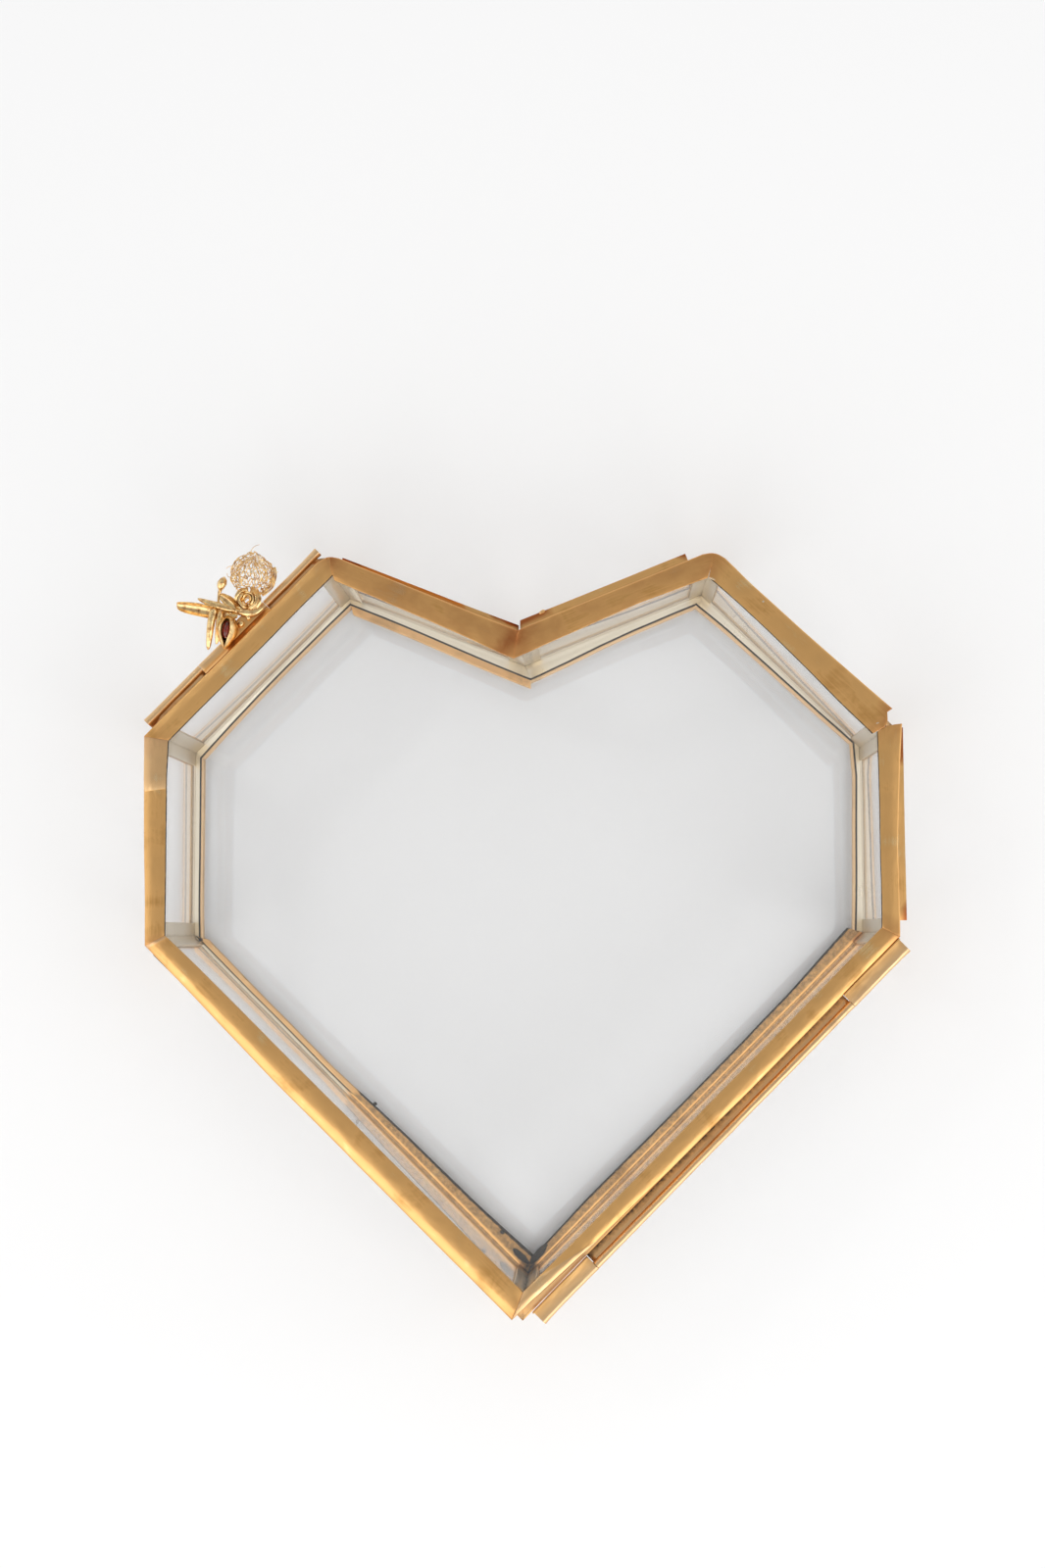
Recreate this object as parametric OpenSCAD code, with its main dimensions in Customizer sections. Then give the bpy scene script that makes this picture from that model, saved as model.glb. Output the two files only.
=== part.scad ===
// Heart-shaped glass casket: eight upright panes and a flat floor, each edged with folded
// brass channel, under a one-piece glass lid that swings on a pin through rolled barrels.
// The outline has eight corners and runs counter-clockwise from the bottom tip.
// Side 0 carries the hinge, side 5 the clasp, and corner 4 is the notch of the heart.

/* [Outline] */
// Half the width across the straight left and right sides
half_width = 96.4; // [90:0.1:104]
// Length of the straight left and right sides
side_run = 54; // [46:0.5:60]
// Height of the two shoulders above the lower end of the straight sides
shoulder_rise = 100; // [94:0.5:106]
// How far the notch dips below the shoulders
notch_dip = 20; // [12:0.5:26]
// Radius of the two rounded shoulder corners
shoulder_radius = 1.8; // [1:0.1:2]
// Overall height of the closed case, without the flower spray
case_height = 50; // [42:1:66]

/* [Sheets] */
// Thickness of the lid, wall and floor glass
glass_thickness = 2; // [1.6:0.1:3]
// Thickness of the brass sheet that the channels are folded from
sheet = 0.5; // [0.4:0.05:0.6]
// Play between a pane and the channel around it
pane_play = 0.05; // [0.03:0.01:0.1]
// Width of the wall channels' flanges at the corners and the rim
wall_flange = 3.6; // [2.6:0.1:5]
// Width of the wall channels' flanges at the foot
wall_foot_flange = 2.8; // [2:0.1:4]
// Width of the floor channels' flanges on the three wide-edged sides
floor_flange = 2.8; // [2:0.1:4.5]
// Width of the floor channels' flanges on the other sides
narrow_floor_flange = 1.4; // [1.1:0.1:2]
// Width of the lid channels' upper flanges
lid_flange = 5; // [4:0.1:5.6]
// Width of the lid channels' upper flanges on both notch sides and the upper right side
wide_lid_flange = 6.2; // [5:0.1:7]
// Width of the lid channels' lower flanges
lid_under_flange = 3.2; // [2.4:0.1:4]

/* [Wall lips] */
// Reach of the turned-out lip along the top of the right wall
right_lip = 2.2; // [1:0.1:2.6]
// Distance from the hinge corner to the start of the right wall's lip
right_lip_start = 4.3; // [3:0.1:12]
// Reach of the lip along the top of the wall right of the notch
notch_right_lip = 2.4; // [1:0.1:2.8]
// Distance from the right shoulder to the start of that lip
notch_right_lip_start = 6.8; // [4:0.1:14]
// Reach of the lip along the top of the wall left of the notch
notch_left_lip = 1.2; // [0.8:0.1:2.4]
// Distance from the end of that lip to the left shoulder
notch_left_lip_end = 4; // [3:0.1:12]
// Reach of the lip along the top of the lower left wall
lower_left_lip = 1.8; // [0.8:0.1:2.4]
// Distance from each end of that wall to its lip
lower_left_lip_start = 3.5; // [3:0.1:12]

/* [Hinge] */
// Outer radius of the rolled barrels
barrel_radius = 1.1; // [1:0.05:1.4]
// Radius of the hinge pin
pin_radius = 0.55; // [0.4:0.05:0.6]
// Radial running play of the pin
pin_play = 0.07; // [0.04:0.01:0.09]
// Thickness of the leaves that carry the barrels
leaf_thickness = 0.4; // [0.3:0.05:0.5]
// Distance from the hinge wall to the hinge axis
hinge_reach = 3.4; // [2.9:0.1:4.2]
// Distance from the bottom tip to the first barrel
hinge_inset = 3.75; // [2.5:0.25:8]
// Length of the lid barrel next to the bottom tip
tip_barrel_length = 19.2; // [14:0.2:26]
// Length of the lid barrel next to the right side
side_barrel_length = 19.6; // [14:0.2:26]
// Distance from the last barrel to the right side's corner
hinge_end_inset = 0.6; // [0.4:0.1:5]
// Gap between neighbouring barrels
barrel_gap = 0.35; // [0.2:0.05:0.6]
// Distance from the end of a barrel to the end of the pin inside it
pin_recess = 0.5; // [0.2:0.1:1.5]
// Height of the leaf soldered down the outside of the wall
leaf_drop = 4; // [2.5:0.25:8]

/* [Clasp] */
// Distance from the clasp wall to the axis of its barrels
clasp_reach = 2.5; // [2.3:0.1:3.2]
// Distance from the left shoulder to the first clasp barrel
clasp_inset = 0.8; // [0.6:0.1:3]
// Length of the wall barrel next to the shoulder
shoulder_clasp_length = 19.2; // [15:0.2:21]
// Length of the lid barrel between the two wall barrels
lid_clasp_length = 23.4; // [21.4:0.2:25]
// Distance from the last clasp barrel to the left side's corner
clasp_end_inset = 1.3; // [0.8:0.1:4]
// How far the leaf starts past the end of its clasp barrel
clasp_leaf_setback = 2.5; // [1:0.25:5]
// Width of the tab that ties the lid barrel to the lid
clasp_tab_width = 21; // [12:0.2:21.4]

/* [Flower spray] */
// Thickness of the backing strip under the spray
backing_thickness = 0.5; // [0.4:0.05:0.8]
// Width of the backing strip
backing_width = 3.3; // [2.6:0.1:3.6]
// Length of the backing strip
backing_length = 14; // [12.5:0.25:16]
// Thickness of the leaves and petals of the spray
petal_thickness = 0.3; // [0.25:0.05:0.4]
// Outer radius of the rolled rosette
rosette_radius = 3.1; // [2.6:0.1:3.3]
// Height of the rolled rosette
rosette_height = 2.6; // [1.8:0.1:3.4]
// Radius of the wire-net blossom
net_radius = 5.2; // [4.6:0.1:5.6]
// Half the thickness of the blossom's wire
net_wire = 0.2; // [0.16:0.01:0.26]
// Length of the long folded leaf
long_leaf_length = 16.25; // [13:0.25:17]
// Half the width of the long folded leaf
long_leaf_half = 1.6; // [1.3:0.1:1.7]
// Length of the thin leaf beside it
thin_leaf_length = 10.5; // [8:0.25:11]
// Half the width of the thin leaf
thin_leaf_half = 0.55; // [0.4:0.05:0.6]
// Length of the outer drooping leaf
droop_length = 10.25; // [8:0.25:10.5]
// Half the width of the drooping leaves
droop_half = 0.65; // [0.5:0.05:0.7]
// Length of the stone's calyx
calyx_length = 8; // [6.5:0.25:8.25]
// Largest radius of the stone's calyx
calyx_radius = 1.65; // [1.5:0.05:1.7]
// Play between the stone and its calyx
stone_play = 0.2; // [0.1:0.05:0.3]
// Radius of the larger bead
bead_radius = 0.75; // [0.6:0.05:0.85]
// Radius of the bud's stem
stem_radius = 0.32; // [0.25:0.01:0.36]

/* [Hidden] */

BRASS = [0.76, 0.58, 0.33];
GILT = [0.84, 0.66, 0.4];
GLASS = [0.86, 0.89, 0.88, 0.35];
RED_STONE = [0.5, 0.1, 0.08];
cut = 1;
round_steps = 40;
arc_steps = 6;

// Sides and corners, counted counter-clockwise from the bottom tip
sides = 8;
hinge_side = 0;
right_side = 1;
notch_right_side = 3;
notch_left_side = 4;
clasp_side = 5;
lower_left_side = 7;
wide_floor_sides = [hinge_side, notch_left_side, lower_left_side];
wide_lid_sides = [2, notch_right_side, notch_left_side];
rounded_corners = [3, 5];
shoulder_in = half_width - (shoulder_rise - side_run);
corners = [
    [0, -half_width], [half_width, 0], [half_width, side_run],
    [shoulder_in, shoulder_rise], [0, shoulder_rise - notch_dip], [-shoulder_in, shoulder_rise],
    [-half_width, side_run], [-half_width, 0]
];

channel_depth = glass_thickness + 2 * pane_play + 2 * sheet;
wall_height = case_height - channel_depth;
bore_radius = pin_radius + pin_play;
barrel_top = wall_height + barrel_radius;

function corner(i) = corners[(i + sides) % sides];
function side_vector(i) = corner(i + 1) - corner(i);
function side_length(i) = norm(side_vector(i));
function heading(i) = side_vector(i) / side_length(i);
function side_angle(i) = atan2(heading(i).y, heading(i).x);
function inward(i) = [-heading(i).y, heading(i).x];
// Tangent of half the turn at a corner, negative at the notch
function mitre(i) = cross(heading(i - 1), heading(i)) / (1 + heading(i - 1) * heading(i));
function inset_corner(i, inset) = corner(i) + inset * (inward(i) + mitre(i) * heading(i));
function among(i, list) = len(search(i, list)) > 0;
function corner_rounding(i) = among(i, rounded_corners) ? shoulder_radius : 0;
function outward_angle(i) = side_angle(i) - 90;
function turn_angle(i) = 2 * atan(mitre(i));
// Points round a corner, from one step of its arc to another
function corner_points(i, inset, from = 0, to = arc_steps) =
    let (arc = corner_rounding(i) - inset)
    arc <= 0
        ? [inset_corner(i, inset)]
        : [for (k = [from:to])
            let (a = outward_angle(i - 1) + turn_angle(i) * k / arc_steps)
            inset_corner(i, corner_rounding(i)) + arc * [cos(a), sin(a)]];
function outline(inset) = [for (i = [0:sides - 1]) each corner_points(i, inset)];
function reversed(list) = [for (k = [len(list) - 1:-1:0]) list[k]];

module on_side(i) {
    translate(corner(i)) rotate(side_angle(i)) children();
}

// Plan of one side's share of the ring between two insets, mitred at both corners
function side_edge(i, inset) = concat(
    corner_points(i, inset, arc_steps / 2, arc_steps),
    corner_points(i + 1, inset, 0, arc_steps / 2)
);
module side_plan(i, outer, inner) {
    polygon(concat(side_edge(i, outer), reversed(side_edge(i, inner))));
}

// A block along the whole side, longer than it at both ends, that starts at an inset
module side_cutter(i, inset, bottom, height) {
    on_side(i) translate([-side_length(i), inset, bottom])
        cube([3 * side_length(i), side_length(i), height]);
}

// A brass channel folded round the edge of a flat sheet of glass, lying down
module flat_channel(i, outer, upper_flange, lower_flange) {
    difference() {
        linear_extrude(channel_depth) side_plan(i, outer, outer + upper_flange);
        side_cutter(i, outer + sheet, sheet, channel_depth - 2 * sheet);
        if (lower_flange < upper_flange)
            side_cutter(i, outer + lower_flange, -cut, cut + channel_depth - 2 * sheet);
    }
}

module flat_pane(outer) {
    translate([0, 0, sheet + pane_play])
        linear_extrude(glass_thickness) polygon(outline(outer + sheet + pane_play));
}

/* Floor */
module floor_glass() {
    color(GLASS) flat_pane(channel_depth);
}

module floor_channel(i) {
    flange = among(i, wide_floor_sides) ? floor_flange : narrow_floor_flange;
    color(BRASS) flat_channel(i, channel_depth, flange, flange);
}

/* Walls */
function slot_margin(k) = max(sheet * k, (channel_depth - sheet) * k) + sheet;
function slot_start(i) = slot_margin(mitre(i));
function slot_end(i) = side_length(i) - slot_margin(mitre(i + 1));
function window_start(i) = max(0, channel_depth * mitre(i)) + wall_flange;
function window_end(i) = side_length(i) - max(0, channel_depth * mitre(i + 1)) - wall_flange;

// A lip is rooted in the middle of the sheet, just under the wall's rim; the slopes slant its
// ends along the mitres
lip_root = sheet / 2;
lip_gap = 0.2;
lip_step = 0.05;
module wall_lip(i, reach, from, to, from_slope = 0, to_slope = 0) {
    on_side(i) translate([0, 0, wall_height - sheet - lip_step]) linear_extrude(sheet)
        polygon([
            [from + lip_root * from_slope, lip_root], [to - lip_root * to_slope, lip_root],
            [to + reach * to_slope, -reach], [from - reach * from_slope, -reach]
        ]);
}

module wall_lips(i) {
    length = side_length(i);
    if (i == right_side)
        wall_lip(i, right_lip, right_lip_start, length - lip_gap);
    if (i == notch_right_side)
        wall_lip(
            i, notch_right_lip, notch_right_lip_start, length - lip_gap,
            to_slope = mitre(i + 1)
        );
    if (i == notch_left_side)
        wall_lip(
            i, notch_left_lip, lip_gap, length - notch_left_lip_end, from_slope = mitre(i)
        );
    if (i == lower_left_side)
        wall_lip(i, lower_left_lip, lower_left_lip_start, length - lower_left_lip_start);
}

module wall_channel(i) {
    color(BRASS) {
        difference() {
            linear_extrude(wall_height) side_plan(i, 0, channel_depth);
            on_side(i) {
                translate([window_start(i), -cut, wall_foot_flange])
                    cube([
                        window_end(i) - window_start(i), channel_depth + 2 * cut,
                        wall_height - wall_flange - wall_foot_flange
                    ]);
                translate([slot_start(i), sheet, sheet])
                    cube([
                        slot_end(i) - slot_start(i), channel_depth - 2 * sheet,
                        wall_height - 2 * sheet
                    ]);
            }
        }
        wall_lips(i);
    }
}

module wall_glass(i) {
    color(GLASS) on_side(i)
        translate([slot_start(i) + pane_play, sheet + pane_play, sheet + pane_play])
            cube([
                slot_end(i) - slot_start(i) - 2 * pane_play, glass_thickness,
                wall_height - 2 * sheet - 2 * pane_play
            ]);
}

/* Lid */
module lid_glass() {
    color(GLASS) translate([0, 0, wall_height]) flat_pane(0);
}

module lid_channel(i) {
    flange = among(i, wide_lid_sides) ? wide_lid_flange : lid_flange;
    color(BRASS) translate([0, 0, wall_height])
        flat_channel(i, 0, flange, lid_under_flange);
}

/* Barrels */
// A profile in the plane across the axis, x pointing to the wall and y up, drawn out along a side
module along_side(i, reach, start, length) {
    on_side(i) translate([start, -reach, wall_height]) rotate([90, 0, 90])
        linear_extrude(length) children();
}

module barrel_ring() {
    difference() {
        circle(r = barrel_radius, $fn = round_steps);
        circle(r = bore_radius, $fn = round_steps);
    }
}

// A leaf that runs in from under the barrel and turns down the outside of the wall
module wall_leaf(reach) {
    difference() {
        union() {
            translate([0, -barrel_radius]) square([reach, leaf_thickness]);
            translate([reach - leaf_thickness, -barrel_radius - leaf_drop])
                square([leaf_thickness, leaf_drop + leaf_thickness]);
        }
        circle(r = bore_radius, $fn = round_steps);
    }
}

// A leaf that runs in from the top of the barrel and turns up the outside of the lid
module lid_leaf(reach) {
    difference() {
        union() {
            translate([0, barrel_radius - leaf_thickness]) square([reach, leaf_thickness]);
            translate([reach - leaf_thickness, barrel_radius - leaf_thickness])
                square([leaf_thickness, channel_depth - barrel_radius + leaf_thickness]);
        }
        circle(r = bore_radius, $fn = round_steps);
    }
}

hinge_length = side_length(hinge_side) - hinge_inset - hinge_end_inset;
wall_barrel_start = hinge_inset + tip_barrel_length + barrel_gap;
side_barrel_start = hinge_inset + hinge_length - side_barrel_length;
wall_barrel_length = side_barrel_start - barrel_gap - wall_barrel_start;

module wall_hinge_barrel() {
    color(BRASS) along_side(hinge_side, hinge_reach, wall_barrel_start, wall_barrel_length) {
        barrel_ring();
        wall_leaf(hinge_reach);
    }
}

module lid_hinge_barrel(start, length) {
    color(BRASS) along_side(hinge_side, hinge_reach, start, length) {
        barrel_ring();
        lid_leaf(hinge_reach);
    }
}

module hinge_pin() {
    color(BRASS)
        along_side(
            hinge_side, hinge_reach, hinge_inset + pin_recess, hinge_length - 2 * pin_recess
        ) circle(r = pin_radius, $fn = round_steps);
}

lid_clasp_start = clasp_inset + shoulder_clasp_length + barrel_gap;
side_clasp_start = lid_clasp_start + lid_clasp_length + barrel_gap;
side_clasp_length = side_length(clasp_side) - clasp_end_inset - side_clasp_start;

module shoulder_clasp_barrel() {
    color(BRASS) {
        along_side(clasp_side, clasp_reach, clasp_inset, shoulder_clasp_length) barrel_ring();
        along_side(
            clasp_side, clasp_reach, clasp_inset + clasp_leaf_setback,
            shoulder_clasp_length - clasp_leaf_setback
        ) wall_leaf(clasp_reach);
    }
}

module side_clasp_barrel() {
    color(BRASS) along_side(clasp_side, clasp_reach, side_clasp_start, side_clasp_length) {
        barrel_ring();
        wall_leaf(clasp_reach);
    }
}

// The lid's leaf lies flat beside its barrel for this far, and then climbs to the lid's top
tab_flat = 1.2;
module lid_clasp_barrel() {
    color(BRASS) {
        along_side(clasp_side, clasp_reach, lid_clasp_start, lid_clasp_length) barrel_ring();
        along_side(
            clasp_side, clasp_reach, lid_clasp_start + lid_clasp_length - clasp_tab_width,
            clasp_tab_width
        ) difference() {
            polygon([
                [0, barrel_radius - leaf_thickness], [0, barrel_radius],
                [tab_flat, barrel_radius], [clasp_reach, channel_depth],
                [clasp_reach, channel_depth - 2 * leaf_thickness],
                [tab_flat + leaf_thickness, barrel_radius - leaf_thickness]
            ]);
            circle(r = bore_radius, $fn = round_steps);
        }
    }
}

/* Flower spray */
// Places in the spray are measured from the middle of the lid's clasp barrel, on the top of
// the backing: x along the clasp side towards the left wall, y in towards the lid, z up.
spray_middle = lid_clasp_start + lid_clasp_length / 2;
spray_play = 0.05;
backing_middle = -3.6;
rosette_centre = [-9.5, -3.7];
net_centre = [-15.2, -7.3, 1.9];
net_clearance = 0.3;
stem_height = 1.2 * stem_radius + spray_play;
bud_curve = [
    [-5.4, -2.4, stem_height], [-0.8, -8.9, stem_height], [-9.3, -11.9, stem_height + 0.8]
];
leaf_rise = 30;
thin_leaf_rise = 25;
leaf_height = 2 * stem_height;
leaf_top = leaf_height + long_leaf_half * sin(leaf_rise) + petal_thickness + spray_play;
long_leaf_root = [-5, -2.7, leaf_height];
thin_leaf_root = [-5.3, -3.5, leaf_top];
long_leaf_heading = -54.7;
thin_leaf_heading = -63;
droop_roots = [[-1.5, -7.7, leaf_top + droop_half], [-2.2, -6.3, leaf_top + droop_half]];
droop_headings = [34, 36];
calyx_root = [-3, -3.6];
calyx_heading = 36;
bead_places = [[-3.8, -0.4], [-6.3, -0.25]];

module in_spray(place) {
    on_side(clasp_side)
        translate([spray_middle, -clasp_reach, barrel_top + backing_thickness])
            translate(place) children();
}

module spray_backing() {
    color(BRASS)
        in_spray([
            backing_middle - backing_length / 2, tab_flat - spray_play - backing_width,
            -backing_thickness
        ])
            cube([backing_length, backing_width, backing_thickness]);
}

rosette_turns = 2.3;
rosette_heart = 0.7;
turn_points = 14;
function spiral_point(turns, radius) = radius * [cos(360 * turns), sin(360 * turns)];
function spiral_radius(turns) =
    rosette_heart + (rosette_radius - rosette_heart) * turns / rosette_turns;

module rosette() {
    steps = round(turn_points * rosette_turns);
    rolled = [for (k = [0:steps]) rosette_turns * k / steps];
    color(GILT) in_spray([rosette_centre.x, rosette_centre.y, 0])
        linear_extrude(rosette_height)
            polygon(concat(
                [for (t = rolled) spiral_point(t, spiral_radius(t))],
                [for (k = [steps:-1:0])
                    spiral_point(rolled[k], spiral_radius(rolled[k]) - petal_thickness)]
            ));
}

// Each wire of the blossom climbs while it winds round a lumpy ball, from a hoop at its foot to
// a hoop at its crown
net_strands = 8;
net_rings = 14;
net_hoops = [-66, 68];
hoop_points = 15;
hoop_share = 1.3;
net_low = -70;
net_high = 72;
net_wind = 200;
net_lump = 0.09;
function lumpy(lat, lon) =
    net_radius * (1 - net_lump + net_lump * sin(3 * lon + 40) * cos(2 * lat));
function on_ball(lat, lon) =
    lumpy(lat, lon) * [cos(lat) * cos(lon), cos(lat) * sin(lon), sin(lat)];
function net_point(strand, way, t) = on_ball(
    net_low + (net_high - net_low) * t, way * (360 * strand / net_strands + net_wind * t)
);
function unit(v) = v / norm(v);
function wire_ring(points, k, radius, corners, up) =
    let (last = len(points) - 1)
    let (along = unit(points[min(k + 1, last)] - points[max(k - 1, 0)]))
    let (out = unit(cross(unit(cross(along, up)), along)))
    let (side = cross(along, out))
    [for (j = [0:corners - 1])
        let (a = 360 * j / corners)
        points[k] + radius * (cos(a) * out + sin(a) * side)];

// A wire swept through points, as rings with so many corners that face up the given ways
module swept_wire(points, radii, corners, ups) {
    last = len(points) - 1;
    polyhedron(
        points = [for (k = [0:last]) each wire_ring(points, k, radii[k], corners, ups[k])],
        faces = concat(
            [[for (j = [0:corners - 1]) j]],
            [for (k = [0:last - 1], j = [0:corners - 1])
                let (a = corners * k + j)
                let (b = corners * k + (j + 1) % corners)
                each [[a, a + corners, b + corners], [a, b + corners, b]]],
            [[for (j = [corners - 1:-1:0]) corners * last + j]]
        )
    );
}

module net_strand(strand, way) {
    points = [for (k = [0:net_rings - 1]) net_point(strand, way, k / (net_rings - 1))];
    swept_wire(points, [for (p = points) net_wire], 4, points);
}

// A hoop is a closed loop of wire, a little thicker than the strands that it gathers
module net_hoop(lat) {
    hoop = [for (k = [0:hoop_points]) on_ball(lat, 360 * k / hoop_points)];
    ring = [for (k = [0:hoop_points - 1])
        let (behind = hoop[k == 0 ? hoop_points - 1 : k - 1])
        wire_ring([behind, hoop[k], hoop[k + 1]], 1, hoop_share * net_wire, 4, hoop[k])];
    polyhedron(
        points = [for (corners = ring) each corners],
        faces = [for (k = [0:hoop_points - 1], j = [0:3])
            let (a = 4 * k + j)
            let (b = 4 * k + (j + 1) % 4)
            let (c = (a + 4) % (4 * hoop_points))
            let (d = (b + 4) % (4 * hoop_points))
            each [[a, c, d], [a, d, b]]]
    );
}

module net_blossom() {
    color(GILT) difference() {
        in_spray(net_centre) {
            for (strand = [0:net_strands - 1], way = [-1, 1]) net_strand(strand, way);
            for (lat = net_hoops) net_hoop(lat);
        }
        in_spray([rosette_centre.x, rosette_centre.y, -net_radius])
            cylinder(
                r = rosette_radius + net_clearance, h = 3 * net_radius, $fn = round_steps
            );
    }
}

// The bud is the swollen end of a bent stem
bud_radius = 0.75;
bud_tip = 0.08;
bud_from = 0.8;
bud_rings = 8;
bud_corners = 10;
function bent(curve, t) =
    (1 - t) * (1 - t) * curve[0] + 2 * t * (1 - t) * curve[1] + t * t * curve[2];
function bud_swell(q) = max(
    bud_tip, stem_radius * (1 - q) + (bud_radius - stem_radius / 2) * pow(sin(180 * q), 0.7)
);

module bud() {
    stem = [for (k = [0:bud_rings - 1]) bud_from * k / bud_rings];
    swell = [for (k = [0:bud_rings]) k / bud_rings];
    color(GILT) in_spray([0, 0, 0])
        swept_wire(
            concat(
                [for (t = stem) bent(bud_curve, t)],
                [for (q = swell) bent(bud_curve, bud_from + (1 - bud_from) * q)]
            ),
            concat([for (t = stem) stem_radius], [for (q = swell) bud_swell(q)]),
            bud_corners,
            [for (k = [0:2 * bud_rings]) [0, 0, 1]]
        );
}

// A folded leaf along +x: two flat wings that meet at the keel line and rise or fall to the sides
leaf_steps = 10;
leaf_root_share = 0.3;
function leaf_half(t, half) =
    half * max(leaf_root_share * (1 - t), pow(sin(180 * pow(t, 0.85)), 0.75));
module folded_leaf(length, half, rise) {
    tuck = petal_thickness * tan(max(-rise, 0));
    for (way = [-1, 1])
        rotate([way * rise, 0, 0])
            linear_extrude(petal_thickness) polygon(concat(
                [[0, -way * tuck]],
                [for (k = [0:leaf_steps])
                    [length * k / leaf_steps, way * leaf_half(k / leaf_steps, half)]],
                [[length, -way * tuck]]
            ));
}

module long_leaf() {
    color(GILT) in_spray(long_leaf_root) rotate(long_leaf_heading)
        folded_leaf(long_leaf_length, long_leaf_half, leaf_rise);
}

module thin_leaf() {
    color(GILT) in_spray(thin_leaf_root) rotate(thin_leaf_heading)
        folded_leaf(thin_leaf_length, thin_leaf_half, thin_leaf_rise);
}

droop_pitch = 12;
droop_shares = [1, 0.76];
module drooping_leaves() {
    color(GILT)
        for (k = [0:1])
            in_spray(droop_roots[k]) rotate([0, droop_pitch, droop_headings[k]])
                folded_leaf(droop_length * droop_shares[k], droop_half, -thin_leaf_rise);
}

// The calyx is a turned bud lying on the backing, open on its upper side over the stone
calyx_opening = 120;
calyx_neck = 0.45;
calyx_steps = 12;
stone_at = 3.6;
function calyx_outer(t) =
    calyx_neck * (1 - t)
    + (calyx_radius - 0.6 * calyx_neck) * pow(sin(180 * pow(t, 0.85)), 0.9);
module calyx_profile(shrink, from, to) {
    polygon(concat(
        [[0, calyx_length * from]],
        [for (k = [0:calyx_steps])
            let (t = from + (to - from) * k / calyx_steps)
            [max(calyx_outer(t) - shrink, 0.01), calyx_length * t]],
        [[0, calyx_length * to]]
    ));
}

module in_calyx() {
    in_spray([calyx_root.x, calyx_root.y, calyx_radius]) rotate([0, 90, calyx_heading])
        children();
}

module stone_calyx() {
    wedge = 3 * calyx_radius;
    color(GILT) in_calyx() difference() {
        rotate_extrude($fn = round_steps) calyx_profile(0, 0, 1);
        rotate_extrude($fn = round_steps) calyx_profile(petal_thickness, 0.12, 0.9);
        translate([0, 0, calyx_length * 0.16]) linear_extrude(calyx_length)
            polygon([
                [0, 0],
                wedge * [-cos(calyx_opening / 2), sin(calyx_opening / 2)],
                wedge * [-1, 0],
                wedge * [-cos(calyx_opening / 2), -sin(calyx_opening / 2)]
            ]);
    }
}

stone_radius = calyx_outer(stone_at / calyx_length) - petal_thickness - stone_play;
module stone() {
    color(RED_STONE) in_calyx() translate([0, 0, stone_at])
        sphere(r = stone_radius, $fn = round_steps);
}

bead_shares = [1, 0.7];
module beads() {
    color(GILT)
        for (k = [0:1])
            in_spray([bead_places[k].x, bead_places[k].y, bead_radius * bead_shares[k]])
                sphere(r = bead_radius * bead_shares[k], $fn = round_steps);
}

floor_glass();
floor_channel(0);  // floor_channel_hinge
floor_channel(1);  // floor_channel_right
floor_channel(2);  // floor_channel_upper_right
floor_channel(3);  // floor_channel_notch_right
floor_channel(4);  // floor_channel_notch_left
floor_channel(5);  // floor_channel_clasp
floor_channel(6);  // floor_channel_left
floor_channel(7);  // floor_channel_lower_left
wall_channel(0);  // wall_channel_hinge
wall_channel(1);  // wall_channel_right
wall_channel(2);  // wall_channel_upper_right
wall_channel(3);  // wall_channel_notch_right
wall_channel(4);  // wall_channel_notch_left
wall_channel(5);  // wall_channel_clasp
wall_channel(6);  // wall_channel_left
wall_channel(7);  // wall_channel_lower_left
wall_glass(0);  // wall_glass_hinge
wall_glass(1);  // wall_glass_right
wall_glass(2);  // wall_glass_upper_right
wall_glass(3);  // wall_glass_notch_right
wall_glass(4);  // wall_glass_notch_left
wall_glass(5);  // wall_glass_clasp
wall_glass(6);  // wall_glass_left
wall_glass(7);  // wall_glass_lower_left
wall_hinge_barrel();
hinge_pin();
shoulder_clasp_barrel();
side_clasp_barrel();
lid_glass();
lid_channel(0);  // lid_channel_hinge
lid_channel(1);  // lid_channel_right
lid_channel(2);  // lid_channel_upper_right
lid_channel(3);  // lid_channel_notch_right
lid_channel(4);  // lid_channel_notch_left
lid_channel(5);  // lid_channel_clasp
lid_channel(6);  // lid_channel_left
lid_channel(7);  // lid_channel_lower_left
lid_hinge_barrel(hinge_inset, tip_barrel_length);  // tip_hinge_barrel
lid_hinge_barrel(side_barrel_start, side_barrel_length);  // side_hinge_barrel
lid_clasp_barrel();
spray_backing();
rosette();
net_blossom();
bud();
long_leaf();
thin_leaf();
drooping_leaves();
stone_calyx();
stone();
beads();
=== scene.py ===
"""Dresses the heart-shaped glass casket: folded brass channel round clear panes, rolled hinge and
clasp barrels, and a spray of wire-net blossom, rolled rosette, leaves, bud and a red stone."""

from functools import partial
from math import cos, exp, hypot, pi, radians, sin

import bpy
from mathutils import Matrix, Vector


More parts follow.
